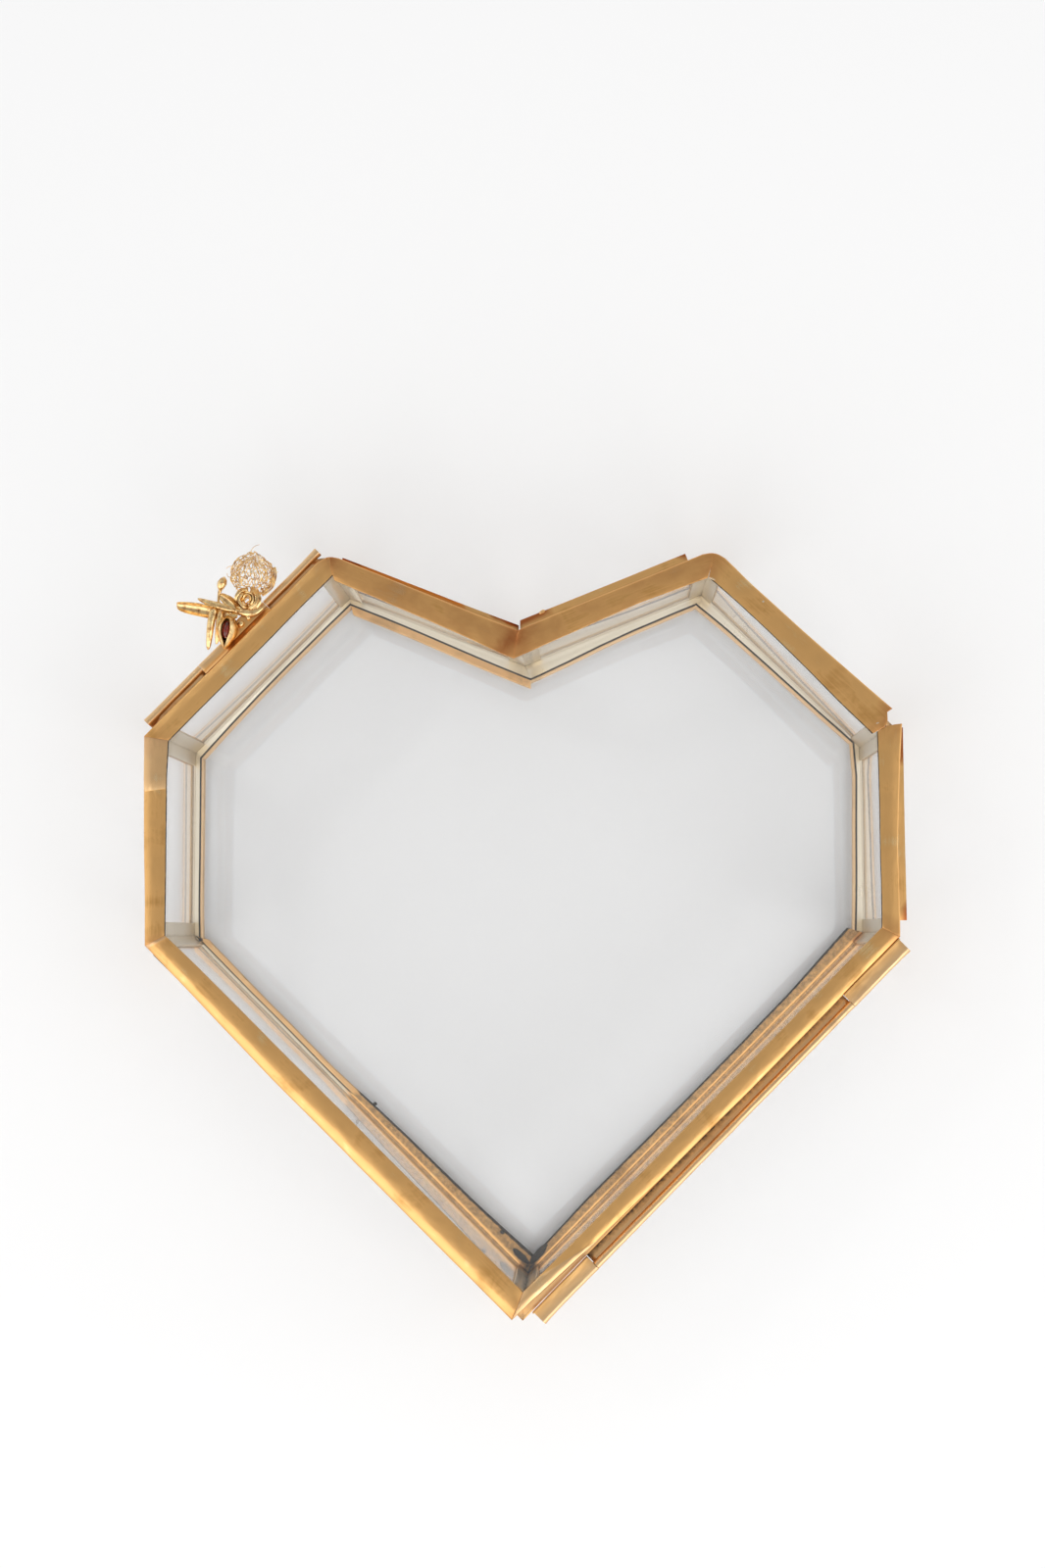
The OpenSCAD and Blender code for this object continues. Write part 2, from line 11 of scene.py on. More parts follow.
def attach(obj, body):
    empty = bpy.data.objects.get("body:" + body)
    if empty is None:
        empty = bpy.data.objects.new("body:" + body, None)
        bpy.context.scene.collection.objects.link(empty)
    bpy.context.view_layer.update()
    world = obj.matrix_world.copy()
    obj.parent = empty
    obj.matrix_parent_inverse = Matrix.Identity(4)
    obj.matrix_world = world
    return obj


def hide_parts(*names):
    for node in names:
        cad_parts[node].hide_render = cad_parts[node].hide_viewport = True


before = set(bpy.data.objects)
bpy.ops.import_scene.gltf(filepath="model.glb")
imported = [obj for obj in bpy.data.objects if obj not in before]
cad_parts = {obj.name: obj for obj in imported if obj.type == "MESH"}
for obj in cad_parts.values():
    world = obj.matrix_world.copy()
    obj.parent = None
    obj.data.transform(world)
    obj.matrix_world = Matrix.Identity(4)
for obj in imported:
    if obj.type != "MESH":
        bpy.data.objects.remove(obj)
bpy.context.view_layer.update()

bl_info = {
    "name": "Glass casket",
    "version": (1, 0, 0),
    "blender": (4, 5, 0),
    "location": "View3D > Sidebar > Casket",
    "description": "Builds the visible pieces of a brass-edged glass casket",
    "category": "Object",
}

MM = 0.001
METRES = Matrix.Scale(MM, 4)
MILLIMETRES = Matrix.Scale(1 / MM, 4)

# The case's outline in millimetres, counter-clockwise from the bottom tip
CORNERS = [
    (0, -96.4), (96.4, 0), (96.4, 54), (50.4, 100), (0, 80), (-50.4, 100), (-96.4, 54), (-96.4, 0)
]
SIDES = [
    "hinge", "right", "upper_right", "notch_right", "notch_left", "clasp", "left", "lower_left"
]
HINGE_SIDE = 0
CLASP_SIDE = 5
WALL_HEIGHT = 46.9
CASE_HEIGHT = 50.0
CHANNEL_DEPTH = 3.1

# Middle of the flower spray: the top of its backing strip over the lid's clasp barrel
SPRAY_PLACE = Vector((32.05, -2.5, 48.5))

# Colours of the finishes, as sRGB; the soot colour also paints shade, the tin colour also paints
# sheen, and the pale stone colour paints glints
BRASS_FLAT = "EDB976"
BRASS_WORN = "F7D49A"
BRASS_TARNISH = "CE9C5C"
BRASS_HEATED = "B4693A"
# Pale tin of the solder coat; also painted sheen on the lapped lid ends
TIN_AND_SHEEN = "E0D5C0"
# Near-black of soot, also used as painted shade in gaps, grooves and hollows
SOOT_AND_PAINTED_SHADE = "35302B"
GILT_LIGHT = "F4D49A"
GILT_ROSE = "DBB27C"
GILT_DARK = "9C6E3E"
WIRE_BRASS = "D9AC6C"
GLASS_CLEAR = "FEFEFE"
STONE_RED = "8E2A18"
STONE_DEEP = "4A1C12"
# Pale flecks painted on the stone as its glints
STONE_GLINT_FLECKS = "E8CDB4"
FLOOR_WHITE = "F8F8F8"


def linear(hex_colour):
    """Turns an sRGB hex colour into the linear colour that Blender's sockets hold."""
    parts = [int(hex_colour[k:k + 2], 16) / 255 for k in (0, 2, 4)]
    return tuple(p / 12.92 if p <= 0.04045 else ((p + 0.055) / 1.055) ** 2.4 for p in parts)


def rgba(hex_colour):
    return (*linear(hex_colour), 1.0)


# Settings

class CasketStageSettings(bpy.types.PropertyGroup):
    floor_size: bpy.props.FloatProperty(
        name="Floor size", description="Width of the studio floor", default=4.0, unit="LENGTH")
    sky_light: bpy.props.FloatProperty(
        name="Sky light", description="Strength of the even studio light", default=0.82)
    ceiling: bpy.props.FloatProperty(
        name="Ceiling", description="Brightness of the dim ceiling that metal mirrors",
        default=0.52)
    far_end: bpy.props.FloatProperty(
        name="Far end", description="Brightness of the room's dim end that metal mirrors",
        default=0.74)
    key_power: bpy.props.FloatProperty(
        name="Key power", description="Power of each large soft lamp", default=3.5, unit="POWER")
    rim_power: bpy.props.FloatProperty(
        name="Rim power", description="Power of each low side lamp", default=0.4, unit="POWER")
    glint_power: bpy.props.FloatProperty(
        name="Glint power", description="Power of the small lamp that polished pieces mirror",
        default=0.15, unit="POWER")


class CasketBrassSettings(bpy.types.PropertyGroup):
    fold_radius: bpy.props.FloatProperty(
        name="Fold radius", description="Outer radius of the folded channel edges",
        default=0.42 * MM, unit="LENGTH")
    edge_radius: bpy.props.FloatProperty(
        name="Edge radius", description="Rounding of the cut edges of the sheet",
        default=0.09 * MM, unit="LENGTH")
    wander: bpy.props.FloatProperty(
        name="Wander", description="How far the hand-folded strips wander from straight",
        default=0.5 * MM, unit="LENGTH")
    crown: bpy.props.FloatProperty(
        name="Crown", description="How far the middle of a lid strip stands up",
        default=0.28 * MM, unit="LENGTH")
    lap: bpy.props.FloatProperty(
        name="Lap", description="Height of a strip's end where it laps over its neighbour",
        default=0.12 * MM, unit="LENGTH")
    step: bpy.props.FloatProperty(
        name="Step", description="Spacing of the cuts that let a strip wander",
        default=3.5 * MM, unit="LENGTH")


class CasketGlassSettings(bpy.types.PropertyGroup):
    roughness: bpy.props.FloatProperty(
        name="Roughness", description="Roughness of the drawn sheet glass", default=0.015)


class CasketSpraySettings(bpy.types.PropertyGroup):
    net_radius: bpy.props.FloatProperty(
        name="Blossom radius", description="Radius of the wire-net blossom", default=5.4 * MM,
        unit="LENGTH")
    net_wire: bpy.props.FloatProperty(
        name="Net wire", description="Thickness of the wire in the blossom", default=0.23 * MM,
        unit="LENGTH")
    petal: bpy.props.FloatProperty(
        name="Petal sheet", description="Thickness of the leaves and petals", default=0.28 * MM,
        unit="LENGTH")


# Modelling helpers: pieces are modelled in millimetres and placed in metres at the end

def side_vector(i):
    return Vector(CORNERS[(i + 1) % 8]) - Vector(CORNERS[i % 8])


def side_length(i):
    return side_vector(i).length


def heading(i):
    return side_vector(i).normalized()


def side_frame(i):
    """Millimetre frame of a side: x along it, y in from its outer face, z up."""
    start, along = Vector(CORNERS[i % 8]), heading(i)
    return Matrix((
        (along.x, -along.y, 0, start.x), (along.y, along.x, 0, start.y), (0, 0, 1, 0), (0, 0, 0, 1)
    ))


def clamp(value):
    return min(max(value, 0), 1)


SPRAY = side_frame(CLASP_SIDE) @ Matrix.Translation(SPRAY_PLACE)


def select_only(*pieces):
    if bpy.context.object and bpy.context.object.mode != "OBJECT":
        bpy.ops.object.mode_set(mode="OBJECT")
    bpy.ops.object.select_all(action="DESELECT")
    for piece in pieces:
        piece.select_set(True)
    bpy.context.view_layer.objects.active = pieces[0]


def pick(piece, kind, test):
    """Leaves the piece in edit mode with the edges or faces selected that pass a test on their
    points."""
    select_only(piece)
    bpy.ops.object.mode_set(mode="EDIT")
    bpy.ops.mesh.select_mode(type=kind)
    bpy.ops.mesh.select_all(action="DESELECT")
    leave_edit()
    mesh = piece.data
    for item in (mesh.edges if kind == "EDGE" else mesh.polygons):
        item.select = test([mesh.vertices[k].co for k in item.vertices])
    bpy.ops.object.mode_set(mode="EDIT")


def edit_all(piece):
    select_only(piece)
    bpy.ops.object.mode_set(mode="EDIT")
    bpy.ops.mesh.select_all(action="SELECT")


def leave_edit():
    bpy.ops.object.mode_set(mode="OBJECT")


def modify(piece, kind, **settings):
    """Adds a modifier with its settings and applies it."""
    select_only(piece)
    modifier = piece.modifiers.new(kind.title(), kind)
    for key, value in settings.items():
        setattr(modifier, key, value)
    bpy.ops.object.modifier_apply(modifier=modifier.name)


def smooth(piece, degrees=35):
    select_only(piece)
    bpy.ops.object.shade_smooth_by_angle(angle=radians(degrees))


def new_piece(name, add=None, **settings):
    """Names the piece that an operator adds, or has just added."""
    if add:
        bpy.ops.object.select_all(action="DESELECT")
        add(**settings)
    piece = bpy.context.object
    piece.name = piece.data.name = name
    return piece


def resize(piece, size):
    edit_all(piece)
    bpy.ops.transform.resize(value=size)
    leave_edit()


def copy_node(node, name, place):
    """A copy of a CAD node's mesh in millimetres of a frame, with its loose triangles merged
    into flat faces."""
    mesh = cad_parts[node].data.copy()
    mesh.materials.clear()
    piece = bpy.data.objects.new(name, mesh)
    mesh.name = name
    bpy.context.scene.collection.objects.link(piece)
    mesh.transform(place.inverted() @ MILLIMETRES)
    edit_all(piece)
    bpy.ops.mesh.remove_doubles(threshold=0.002)
    bpy.ops.mesh.dissolve_limited(angle_limit=radians(1))
    leave_edit()
    return piece


def soften(piece, width):
    """Rounds the cut edges."""
    modify(
        piece, "BEVEL", width=width, segments=2, limit_method="ANGLE", angle_limit=radians(40),
        use_clamp_overlap=True,
    )


def cloud(name, size):
    texture = bpy.data.textures.get(name) or bpy.data.textures.new(name, "CLOUDS")
    texture.noise_scale = size
    texture.noise_depth = 1
    return texture


def wander(piece, amount, size, axes="XY"):
    """Lets a piece stray from straight, as hand-folded sheet does."""
    for axis in axes:
        # Each axis reads its own cloud, so that they don't move together
        texture = cloud(f"wander {axis} {size}", size * (1 + 0.13 * ord(axis) % 1))
        modify(
            piece, "DISPLACE", texture=texture, texture_coords="LOCAL", direction=axis,
            mid_level=0.5, strength=amount,
        )


def lay(piece, finish):
    """Stores the piece's own millimetre coordinates, which run along the strip, and its finish at
    each point, for the material to read: how dark it is with soot and with painted shade, how
    heat-tinted, and how pale with tin and with painted sheen."""
    mesh = piece.data
    along = mesh.attributes.new("lay", "FLOAT_VECTOR", "POINT")
    marks_and_shade = mesh.attributes.new("finish", "FLOAT_VECTOR", "POINT")
    for v in mesh.vertices:
        along.data[v.index].vector = v.co
        marks_and_shade.data[v.index].vector = finish(v.co)


def place(piece, matrix):
    piece.data.transform(matrix)


def paint(piece, slot):
    piece.data.materials.clear()
    piece.data.materials.append(material_for(slot))


def finish_piece(piece, body, slot, node=None):
    """Brings a finished piece from millimetres to metres and hands it to its body."""
    piece.data.transform(METRES)
    paint(piece, slot)
    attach(piece, body)
    if node:
        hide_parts(node)


def finish_gilt(piece, degrees, node=None):
    """Puts a piece of the spray in its place on the lid."""
    place(piece, SPRAY)
    smooth(piece, degrees)
    finish_piece(piece, "lid", "gilt_brass", node)


def tube(name, points, radii, facets=8, steps=4, closed=False):
    """A wire through points in millimetres, with its own radius at each."""
    curve = bpy.data.curves.new(name, "CURVE")
    curve.dimensions = "3D"
    curve.bevel_depth = 1.0
    curve.bevel_resolution = (facets - 4) // 2
    curve.use_fill_caps = not closed
    curve.resolution_u = steps
    spline = curve.splines.new("BEZIER")
    spline.use_cyclic_u = closed
    spline.bezier_points.add(len(points) - 1)
    for point, co, radius in zip(spline.bezier_points, points, radii):
        point.co = co
        point.radius = radius
        point.handle_left_type = point.handle_right_type = "AUTO"
    piece = bpy.data.objects.new(name, curve)
    bpy.context.scene.collection.objects.link(piece)
    select_only(piece)
    bpy.ops.object.convert(target="MESH")
    return new_piece(name)


def bisect(piece, cuts):
    """Cuts the piece by planes, each a point and a normal, and keeps both sides."""
    edit_all(piece)
    for point, normal in cuts:
        bpy.ops.mesh.select_all(action="SELECT")
        bpy.ops.mesh.bisect(plane_co=point, plane_no=normal)
    leave_edit()


def slice_at(piece, axis, places):
    """Cuts the piece square to an axis, 0 to 2, at each place along it."""
    normal = Vector([k == axis for k in range(3)])
    bisect(piece, [(spot * normal, normal) for spot in places])


def join(name, *pieces):
    select_only(*pieces)
    bpy.ops.object.join()
    pieces[0].name = name
    return pieces[0]


# Materials

def add_node(tree, kind, inputs=None, **settings):
    """Adds a shader node with its settings; an input is a value, the socket that feeds it, or a
    node whose first output in use feeds it."""
    node = tree.nodes.new("ShaderNode" + kind)
    for key, value in settings.items():
        setattr(node, key, value)
    for key, value in (inputs or {}).items():
        if isinstance(value, bpy.types.Node):
            value = next(socket for socket in value.outputs if socket.enabled)
        if isinstance(value, bpy.types.NodeSocket):
            tree.links.new(value, node.inputs[key])
        else:
            node.inputs[key].default_value = value
    return node


def ramp(node, *stops):
    """Sets a colour ramp's stops, each a place and a colour."""
    elements = node.color_ramp.elements
    while len(elements) > 1:
        elements.remove(elements[-1])
    elements[0].position, elements[0].color = stops[0]
    for position, colour in stops[1:]:
        elements.new(position).color = colour


def folded_brass(add, here):
    """Folded brass sheet, satin from handling: soft patches of patina 9 mm across, drawn lines
    along the strip, faint dents from the folding, soot and heat tint where a corner was soldered,
    painted shade in the gaps, grooves and hollows and along the inner edges, painted sheen on the
    lapped lid ends, and a thin coat of solder on the inner faces of the wall corners."""
    own = add("Attribute", attribute_name="lay")
    finish = add("Attribute", attribute_name="finish")
    marks_and_shade = add("SeparateXYZ", {"Vector": finish.outputs["Vector"]})
    patches = add("TexNoise", {
        "Vector": here, "Scale": 1 / (9 * MM), "Detail": 4.0, "Roughness": 0.55, "Distortion": 0.4,
    })
    # Rolling lines 14 mm long and 0.5 mm apart
    stretched = add("Mapping", {
        "Vector": own.outputs["Vector"], "Scale": (1 / 14, 1 / 0.5, 1 / 0.5),
    })
    lines = add("TexNoise", {"Vector": stretched, "Scale": 1.0, "Detail": 3.0, "Roughness": 0.6})
    # Dents 5 mm long and 2 mm wide
    dented = add("Mapping", {"Vector": own.outputs["Vector"], "Scale": (1 / 5, 1 / 2, 1 / 2)})
    dents = add("TexNoise", {"Vector": dented, "Scale": 1.0, "Detail": 1.0})
    specks = add("TexNoise", {"Vector": here, "Scale": 1 / (0.9 * MM), "Detail": 2.0})
    even = add("MapRange", {
        "Value": specks, "From Min": 0.3, "From Max": 0.7, "To Min": 0.41, "To Max": 0.59,
    })
    tone = add("Mix", {"Factor": 0.25, "A": patches, "B": lines})
    colour = add("ValToRGB", {"Fac": tone})
    ramp(
        colour, (0.32, rgba(BRASS_TARNISH)), (0.45, rgba(BRASS_FLAT)), (0.58, rgba(BRASS_FLAT)),
        (0.72, rgba(BRASS_WORN)),
    )
    tint = add("Math", {0: marks_and_shade.outputs["Y"], 1: patches, 2: -0.12}, operation="MULTIPLY_ADD")
    tinted = add("MapRange", {"Value": tint, "From Min": 0.0, "From Max": 0.5})
    heated = add("Mix", {"Factor": tinted, "A": colour, "B": rgba(BRASS_HEATED)}, data_type="RGBA")
    # Mixes in the pale tin colour: tinned solder, and painted sheen on the lapped lid ends
    tinned_and_sheen = add("Mix", {
        "Factor": marks_and_shade.outputs["Z"], "A": heated, "B": rgba(TIN_AND_SHEEN),
    }, data_type="RGBA")
    # The first channel darkens towards the soot colour: real soot at the soldered corners and the
    # tip, and painted shade in gaps, grooves, hollows, on the shaded floor strips and along the
    # lid strips' inner edges
    soot_and_shade_amount = add("Math", {0: marks_and_shade.outputs["X"], 1: even, 2: -0.1}, operation="MULTIPLY_ADD")
    edge = add("MapRange", {"Value": soot_and_shade_amount, "From Min": 0.05, "From Max": 0.32})
    darkened = add("Mix", {"Factor": edge, "A": tinned_and_sheen, "B": rgba(SOOT_AND_PAINTED_SHADE)}, data_type="RGBA")
    rough = add("MapRange", {
        "Value": tone, "From Min": 0.35, "From Max": 0.65, "To Min": 0.42, "To Max": 0.27,
    })
    dull = add("Math", {0: edge, 1: 0.35, 2: rough}, operation="MULTIPLY_ADD")
    metal = add("MapRange", {"Value": edge, "To Min": 1.0, "To Max": 0.3})
    fine = add("Bump", {"Height": lines, "Strength": 0.4, "Distance": 0.02 * MM})
    bump = add("Bump", {"Height": dents, "Strength": 0.6, "Distance": 0.16 * MM, "Normal": fine})
    return add("BsdfPrincipled", {
        "Base Color": darkened, "Metallic": metal, "Roughness": dull, "Normal": bump,
    })


def gilt_brass(add, here):
    """Gilded stamped brass of the spray, brighter than the frame, with rose and dark patches 1.6
    mm across.
    """
    patches = add("TexNoise", {
        "Vector": here, "Scale": 1 / (1.6 * MM), "Detail": 3.0, "Roughness": 0.6,
    })
    grain = add("TexNoise", {"Vector": here, "Scale": 1 / (0.25 * MM), "Detail": 2.0})
    colour = add("ValToRGB", {"Fac": patches})
    ramp(
        colour, (0.28, rgba(GILT_DARK)), (0.42, rgba(GILT_ROSE)), (0.56, rgba(GILT_LIGHT)),
        (0.75, rgba(GILT_LIGHT)),
    )
    rough = add("MapRange", {
        "Value": grain, "From Min": 0.3, "From Max": 0.7, "To Min": 0.15, "To Max": 0.3,
    })
    bump = add("Bump", {"Height": grain, "Strength": 0.3, "Distance": 0.03 * MM})
    return add("BsdfPrincipled", {
        "Base Color": colour, "Metallic": 1.0, "Roughness": rough, "Normal": bump,
    })


def pin_wire(add, here):
    """Drawn brass wire of the hinge pin, with fine rings of wear."""
    wear = add("TexNoise", {"Vector": here, "Scale": 1 / (1.2 * MM), "Detail": 3.0})
    colour = add("ValToRGB", {"Fac": wear})
    ramp(colour, (0.3, rgba(BRASS_TARNISH)), (0.55, rgba(WIRE_BRASS)))
    return add("BsdfPrincipled", {"Base Color": colour, "Metallic": 1.0, "Roughness": 0.3})


def clear_glass(add, here):
    """Thin drawn soda-lime glass, faintly hazed by dust; lamps shine straight through it."""
    ripple = add("TexNoise", {"Vector": here, "Scale": 1 / (45 * MM), "Detail": 2.0})
    bump = add("Bump", {"Height": ripple, "Strength": 0.25, "Distance": 0.2 * MM})
    settings = bpy.context.scene.casket_glass
    glass = add("BsdfPrincipled", {
        "Base Color": rgba(GLASS_CLEAR), "Roughness": settings.roughness, "IOR": 1.5,
        "Transmission Weight": 1.0, "Normal": bump,
    })
    through = add("BsdfTransparent", {"Color": rgba(GLASS_CLEAR)})
    path = add("LightPath")
    return add("MixShader", {"Fac": path.outputs["Is Shadow Ray"], 1: glass, 2: through})


def red_stone(add, here):
    """Polished dark red glass stone with cloudy depths, and pale flecks painted in as glints."""
    clouds = add("TexNoise", {"Vector": here, "Scale": 1 / (1.1 * MM), "Detail": 3.0})
    colour = add("ValToRGB", {"Fac": clouds})
    ramp(
        colour, (0.35, rgba(STONE_DEEP)), (0.52, rgba(STONE_RED)), (0.6, rgba(STONE_RED)),
        (0.68, rgba(STONE_GLINT_FLECKS)),
    )
    return add("BsdfPrincipled", {
        "Base Color": colour, "Roughness": 0.07, "Coat Weight": 0.6, "Coat Roughness": 0.03,
    })


def white_table(add, here):
    return add("BsdfDiffuse", {"Color": rgba(FLOOR_WHITE)})


# The record's slots and the table: the material's name, and what adds its nodes
MATERIALS = {
    "folded_brass": ("Folded brass sheet, satin", folded_brass),
    "gilt_brass": ("Gilded brass foil", gilt_brass),
    "pin_wire": ("Drawn brass wire", pin_wire),
    "clear_glass": ("Clear soda-lime sheet glass", clear_glass),
    "red_stone": ("Polished red glass stone", red_stone),
    "table": ("Matt white table", white_table),
}


def material_for(slot):
    """The finish for a slot of the record, made on first use."""
    name, maker = MATERIALS[slot]
    material = bpy.data.materials.get(name)
    if not material:
        material = bpy.data.materials.new(name)
        material.use_nodes = True
        material.node_tree.nodes.clear()
        add = partial(add_node, material.node_tree)
        surface = maker(add, add("TexCoord").outputs["Object"])
        add("OutputMaterial", {"Surface": surface})
    return material


# Folded channel

# How far the outer and the inner edge of each lid strip stray inwards from the true line, in
# millimetres at six even steps along the side
LID_STRAYS = [
    ((2.4, 1.0, 0.3, 0, 0, 0), (0.3, 0, 0, 0, 0, 0)),
    ((-0.1, 0, 0, -0.4, -0.9, -1.7), (-0.4, -0.4, -0.4, -0.4, -0.3, 0)),
    ((-2.7, -2.0, -1.4, -0.9, -0.5, -0.7), (-0.3, -0.4, -0.8, -0.9, -0.7, 0)),
    ((-0.2, 0, 0, 0, 0, 0.2), (0.1, -0.3, -0.6, -0.3, 0.1, 0.5)),
    ((0.5, 0.3, 0.1, 0, -0.1, -0.5), (1.6, 0.8, 0.3, 0, -0.4, -0.9)),
    ((-0.2, 0, 0, 0, 0, 0), (0.3, 0.4, 0.5, 0.5, 0.5, 0.6)),
    ((-1.2, -1.2, -1.0, -0.8, -0.5, -0.4), (0.6, 0.1, 0, 0, 0, 0)),
    ((-1.3, -1.8, -2.0, -1.9, -1.8, -1.6), (-0.6, -0.3, 0, 0.1, 0.3, 0.5)),
]
# The same for the floor strips' inner edges
FLAT = (0,) * 6
FLOOR_STRAYS = [
    (FLAT, (-0.7, 0, -0.3, -0.4, -0.1, 1.2)),
    (FLAT, (1.5, 1.2, 1.0, 0.8, 0.6, 1.3)),
    (FLAT, (-0.4, 0.2, 0.6, 1.0, 1.5, 2.6)),
    (FLAT, (1.5, 1.5, 1.7, 2.2, 3.0, 3.6)),
    (FLAT, (2.5, 2.2, 1.8, 1.4, 1.1, 0.9)),
    (FLAT, (0.8, 0.6, 0.5, 0.6, 1.0, 1.6)),
    (FLAT, (1.0, 1.0, 1.0, 1.0, 1.0, 1.1)),
    (FLAT, (-0.9, -1.2, -1.1, 0, 0.5, 2.0)),
]
# Where the tan-brown half of the lower left floor strip starts, darkened partly as painted shadow,
# as a share of its length
BROWNED_AND_SHADED_FROM = 0.45
# Rows of the floor strips: foot, start and end of the painted shade in the gap to the wall, and
# the painted shade along the inner edge
FLOOR_ROWS = (3.15, 3.3, 3.37, 3.84, 3.9, 5.5, 5.7)
# Across a floor strip: where the tinned foot ends, the tan-brown starts, the painted shade of the
# gap ends and the painted shade along the inner edge starts
FOOT_END, BROWN_START, SHADED_GAP_END, SHADED_RIM_START = 3.32, 3.7, 3.87, 5.6
# Lid strips whose outer edge is rolled down by hand: how wide the roll is and how deep
LID_ROLLS = {0: (1.4, 0.22), 6: (1.6, 0.5), 7: (2.4, 0.85)}
# Corners of the lid that are filed round, from how far along and how deep
ROUNDED_CORNERS = (3, 5)
FILED_REACH, FILED_DEPTH = 4.5, 1.3
# The strip whose end is cut short at its outer edge, from how far along and by how much, and the
# same for its neighbour's end
CUT_SIDE = 2
CUT_REACH, CUT_BACK = 10, 3.4
TRIM_REACH, TRIM_BACK = 6, 1.6
# Width of the lid strips; these three are the wide ones
LID_FLANGE, WIDE_LID_FLANGE = 5.0, 6.2
WIDE_LID_SIDES = (2, 3, 4)
# The crown of a lid strip starts this far in, inside its fold
FOLD_ROOM = 0.4
# A lapping end stands up from this far inside the lap's edge
LAP_EDGE = 0.12
# Strip ends that lap over their neighbours: two points of the lap's edge, seen from the lapping
# end with the outside on the left
LID_LAPS = {
    0: [((11, 4.8), (29, 0.2))],
    6: [((14.6, 6.3), (14.2, -1.5))],
    7: [((3.2, 5.6), (1.0, -0.5))],
}


def at_step(values, share):
    """A value between the even steps of a list, at a share of its length."""
    spot = clamp(share) * (len(values) - 1)
    k = min(int(spot), len(values) - 2)
    return values[k] + (values[k + 1] - values[k]) * (spot - k)


def corner_shift(strays, corner, edge):
    """How far a corner moves along the side before it and along the side after it, when the
    edges of the two stray."""
    before, after = heading(corner - 1), heading(corner)
    away_before, away_after = strays[corner - 1][edge][-1], strays[corner % 8][edge][0]
    turn, facing = before.cross(after), before.dot(after)
    return ((away_before * facing - away_after) / turn, (away_before - away_after * facing) / turn)


def stray(piece, side, strays, from_inset, to_inset):
    """Lets the edges of a flat strip stray from the true line; it still meets its neighbours."""
    length = side_length(side)
    starts = [corner_shift(strays, side, edge)[1] for edge in (0, 1)]
    stops = [corner_shift(strays, side + 1, edge)[0] for edge in (0, 1)]
    for v in piece.data.vertices:
        share = clamp(v.co.x / length)
        across = clamp((v.co.y - from_inset) / (to_inset - from_inset))
        outer, inner = strays[side]
        start = starts[0] * (1 - across) + starts[1] * across
        stop = stops[0] * (1 - across) + stops[1] * across
        v.co.x += start * (1 - share) + stop * share
        v.co.y += at_step(outer, share) * (1 - across) + at_step(inner, share) * across


def file_ends(piece, side, flange):
    """Files the outer corner of a lid strip round, or cuts it short."""
    length = side_length(side)
    for v in piece.data.vertices:
        across = clamp(v.co.y / flange)
        for corner, reach in ((side, v.co.x), (side + 1, length - v.co.x)):
            if corner in ROUNDED_CORNERS and reach < FILED_REACH:
                v.co.y += FILED_DEPTH * (1 - max(reach, 0) / FILED_REACH) ** 2 * (1 - across)
        if side == CUT_SIDE and v.co.x < CUT_REACH:
            v.co.x += CUT_BACK * (1 - max(v.co.x, 0) / CUT_REACH) * clamp((0.5 - across) / 0.3)
        if side == CUT_SIDE - 1 and v.co.x > length - TRIM_REACH:
            share = 1 - (length - v.co.x) / TRIM_REACH
            v.co.x -= TRIM_BACK * share * max(0, 0.6 - across) / 0.6


def ends(length, co, reach):
    """1 at either end of a strip, fading to 0 over a reach."""
    return max(0.0, 1 - min(abs(co.x), abs(length - co.x)) / reach)


def is_browned_and_shaded(side, co):
    """Whether a strip is tan-brown here from the soldering and darkened as painted shadow: the
    hinge side's all along, and its neighbour's from where a second strip starts."""
    return side == 0 or (side == 7 and co.x > BROWNED_AND_SHADED_FROM * side_length(7))


def tip_end(side, co, reach):
    """1 at the heart's tip and fading to 0 over a reach along the two sides that meet there."""
    if side not in (0, 7):
        return 0.0
    away = co.x if side == 0 else side_length(7) - co.x
    return max(0.0, 1 - away / reach)


def dress_channels(group, fold_inset, fold_heights, body, amount, dress):
    """Dresses a group's eight channels: rounds their folds, softens the cut edges, adds what the
    group has of its own, and lets them wander as hand-folded sheet does."""
    brass = bpy.context.scene.casket_brass

    def is_fold(points):
        a, b = points
        level = any(abs(a.z - z) < 0.01 and abs(b.z - z) < 0.01 for z in fold_heights)
        return level and max(a.y, b.y) < fold_inset + 0.6

    for i, side in enumerate(SIDES):
        node = f"{group}_channel_{side}"
        piece = copy_node(node, node + "_dressed", side_frame(i))
        pick(piece, "EDGE", is_fold)
        bpy.ops.mesh.bevel(
            offset=brass.fold_radius / MM, segments=4, affect="EDGES", clamp_overlap=True
        )
        leave_edit()
        soften(piece, brass.edge_radius / MM)
        length = side_length(i)
        cuts = max(3, int(length / (brass.step / MM)))
        places = [length * k / cuts for k in range(1, cuts)]
        slice_at(piece, 0, places + [1.0, 2.0, length - 2.0, length - 1.0])
        dress(piece, i, length)
        place(piece, side_frame(i))
        wander(piece, amount * brass.wander / MM, 14.0)
        smooth(piece)
        finish_piece(piece, body, "folded_brass", node)


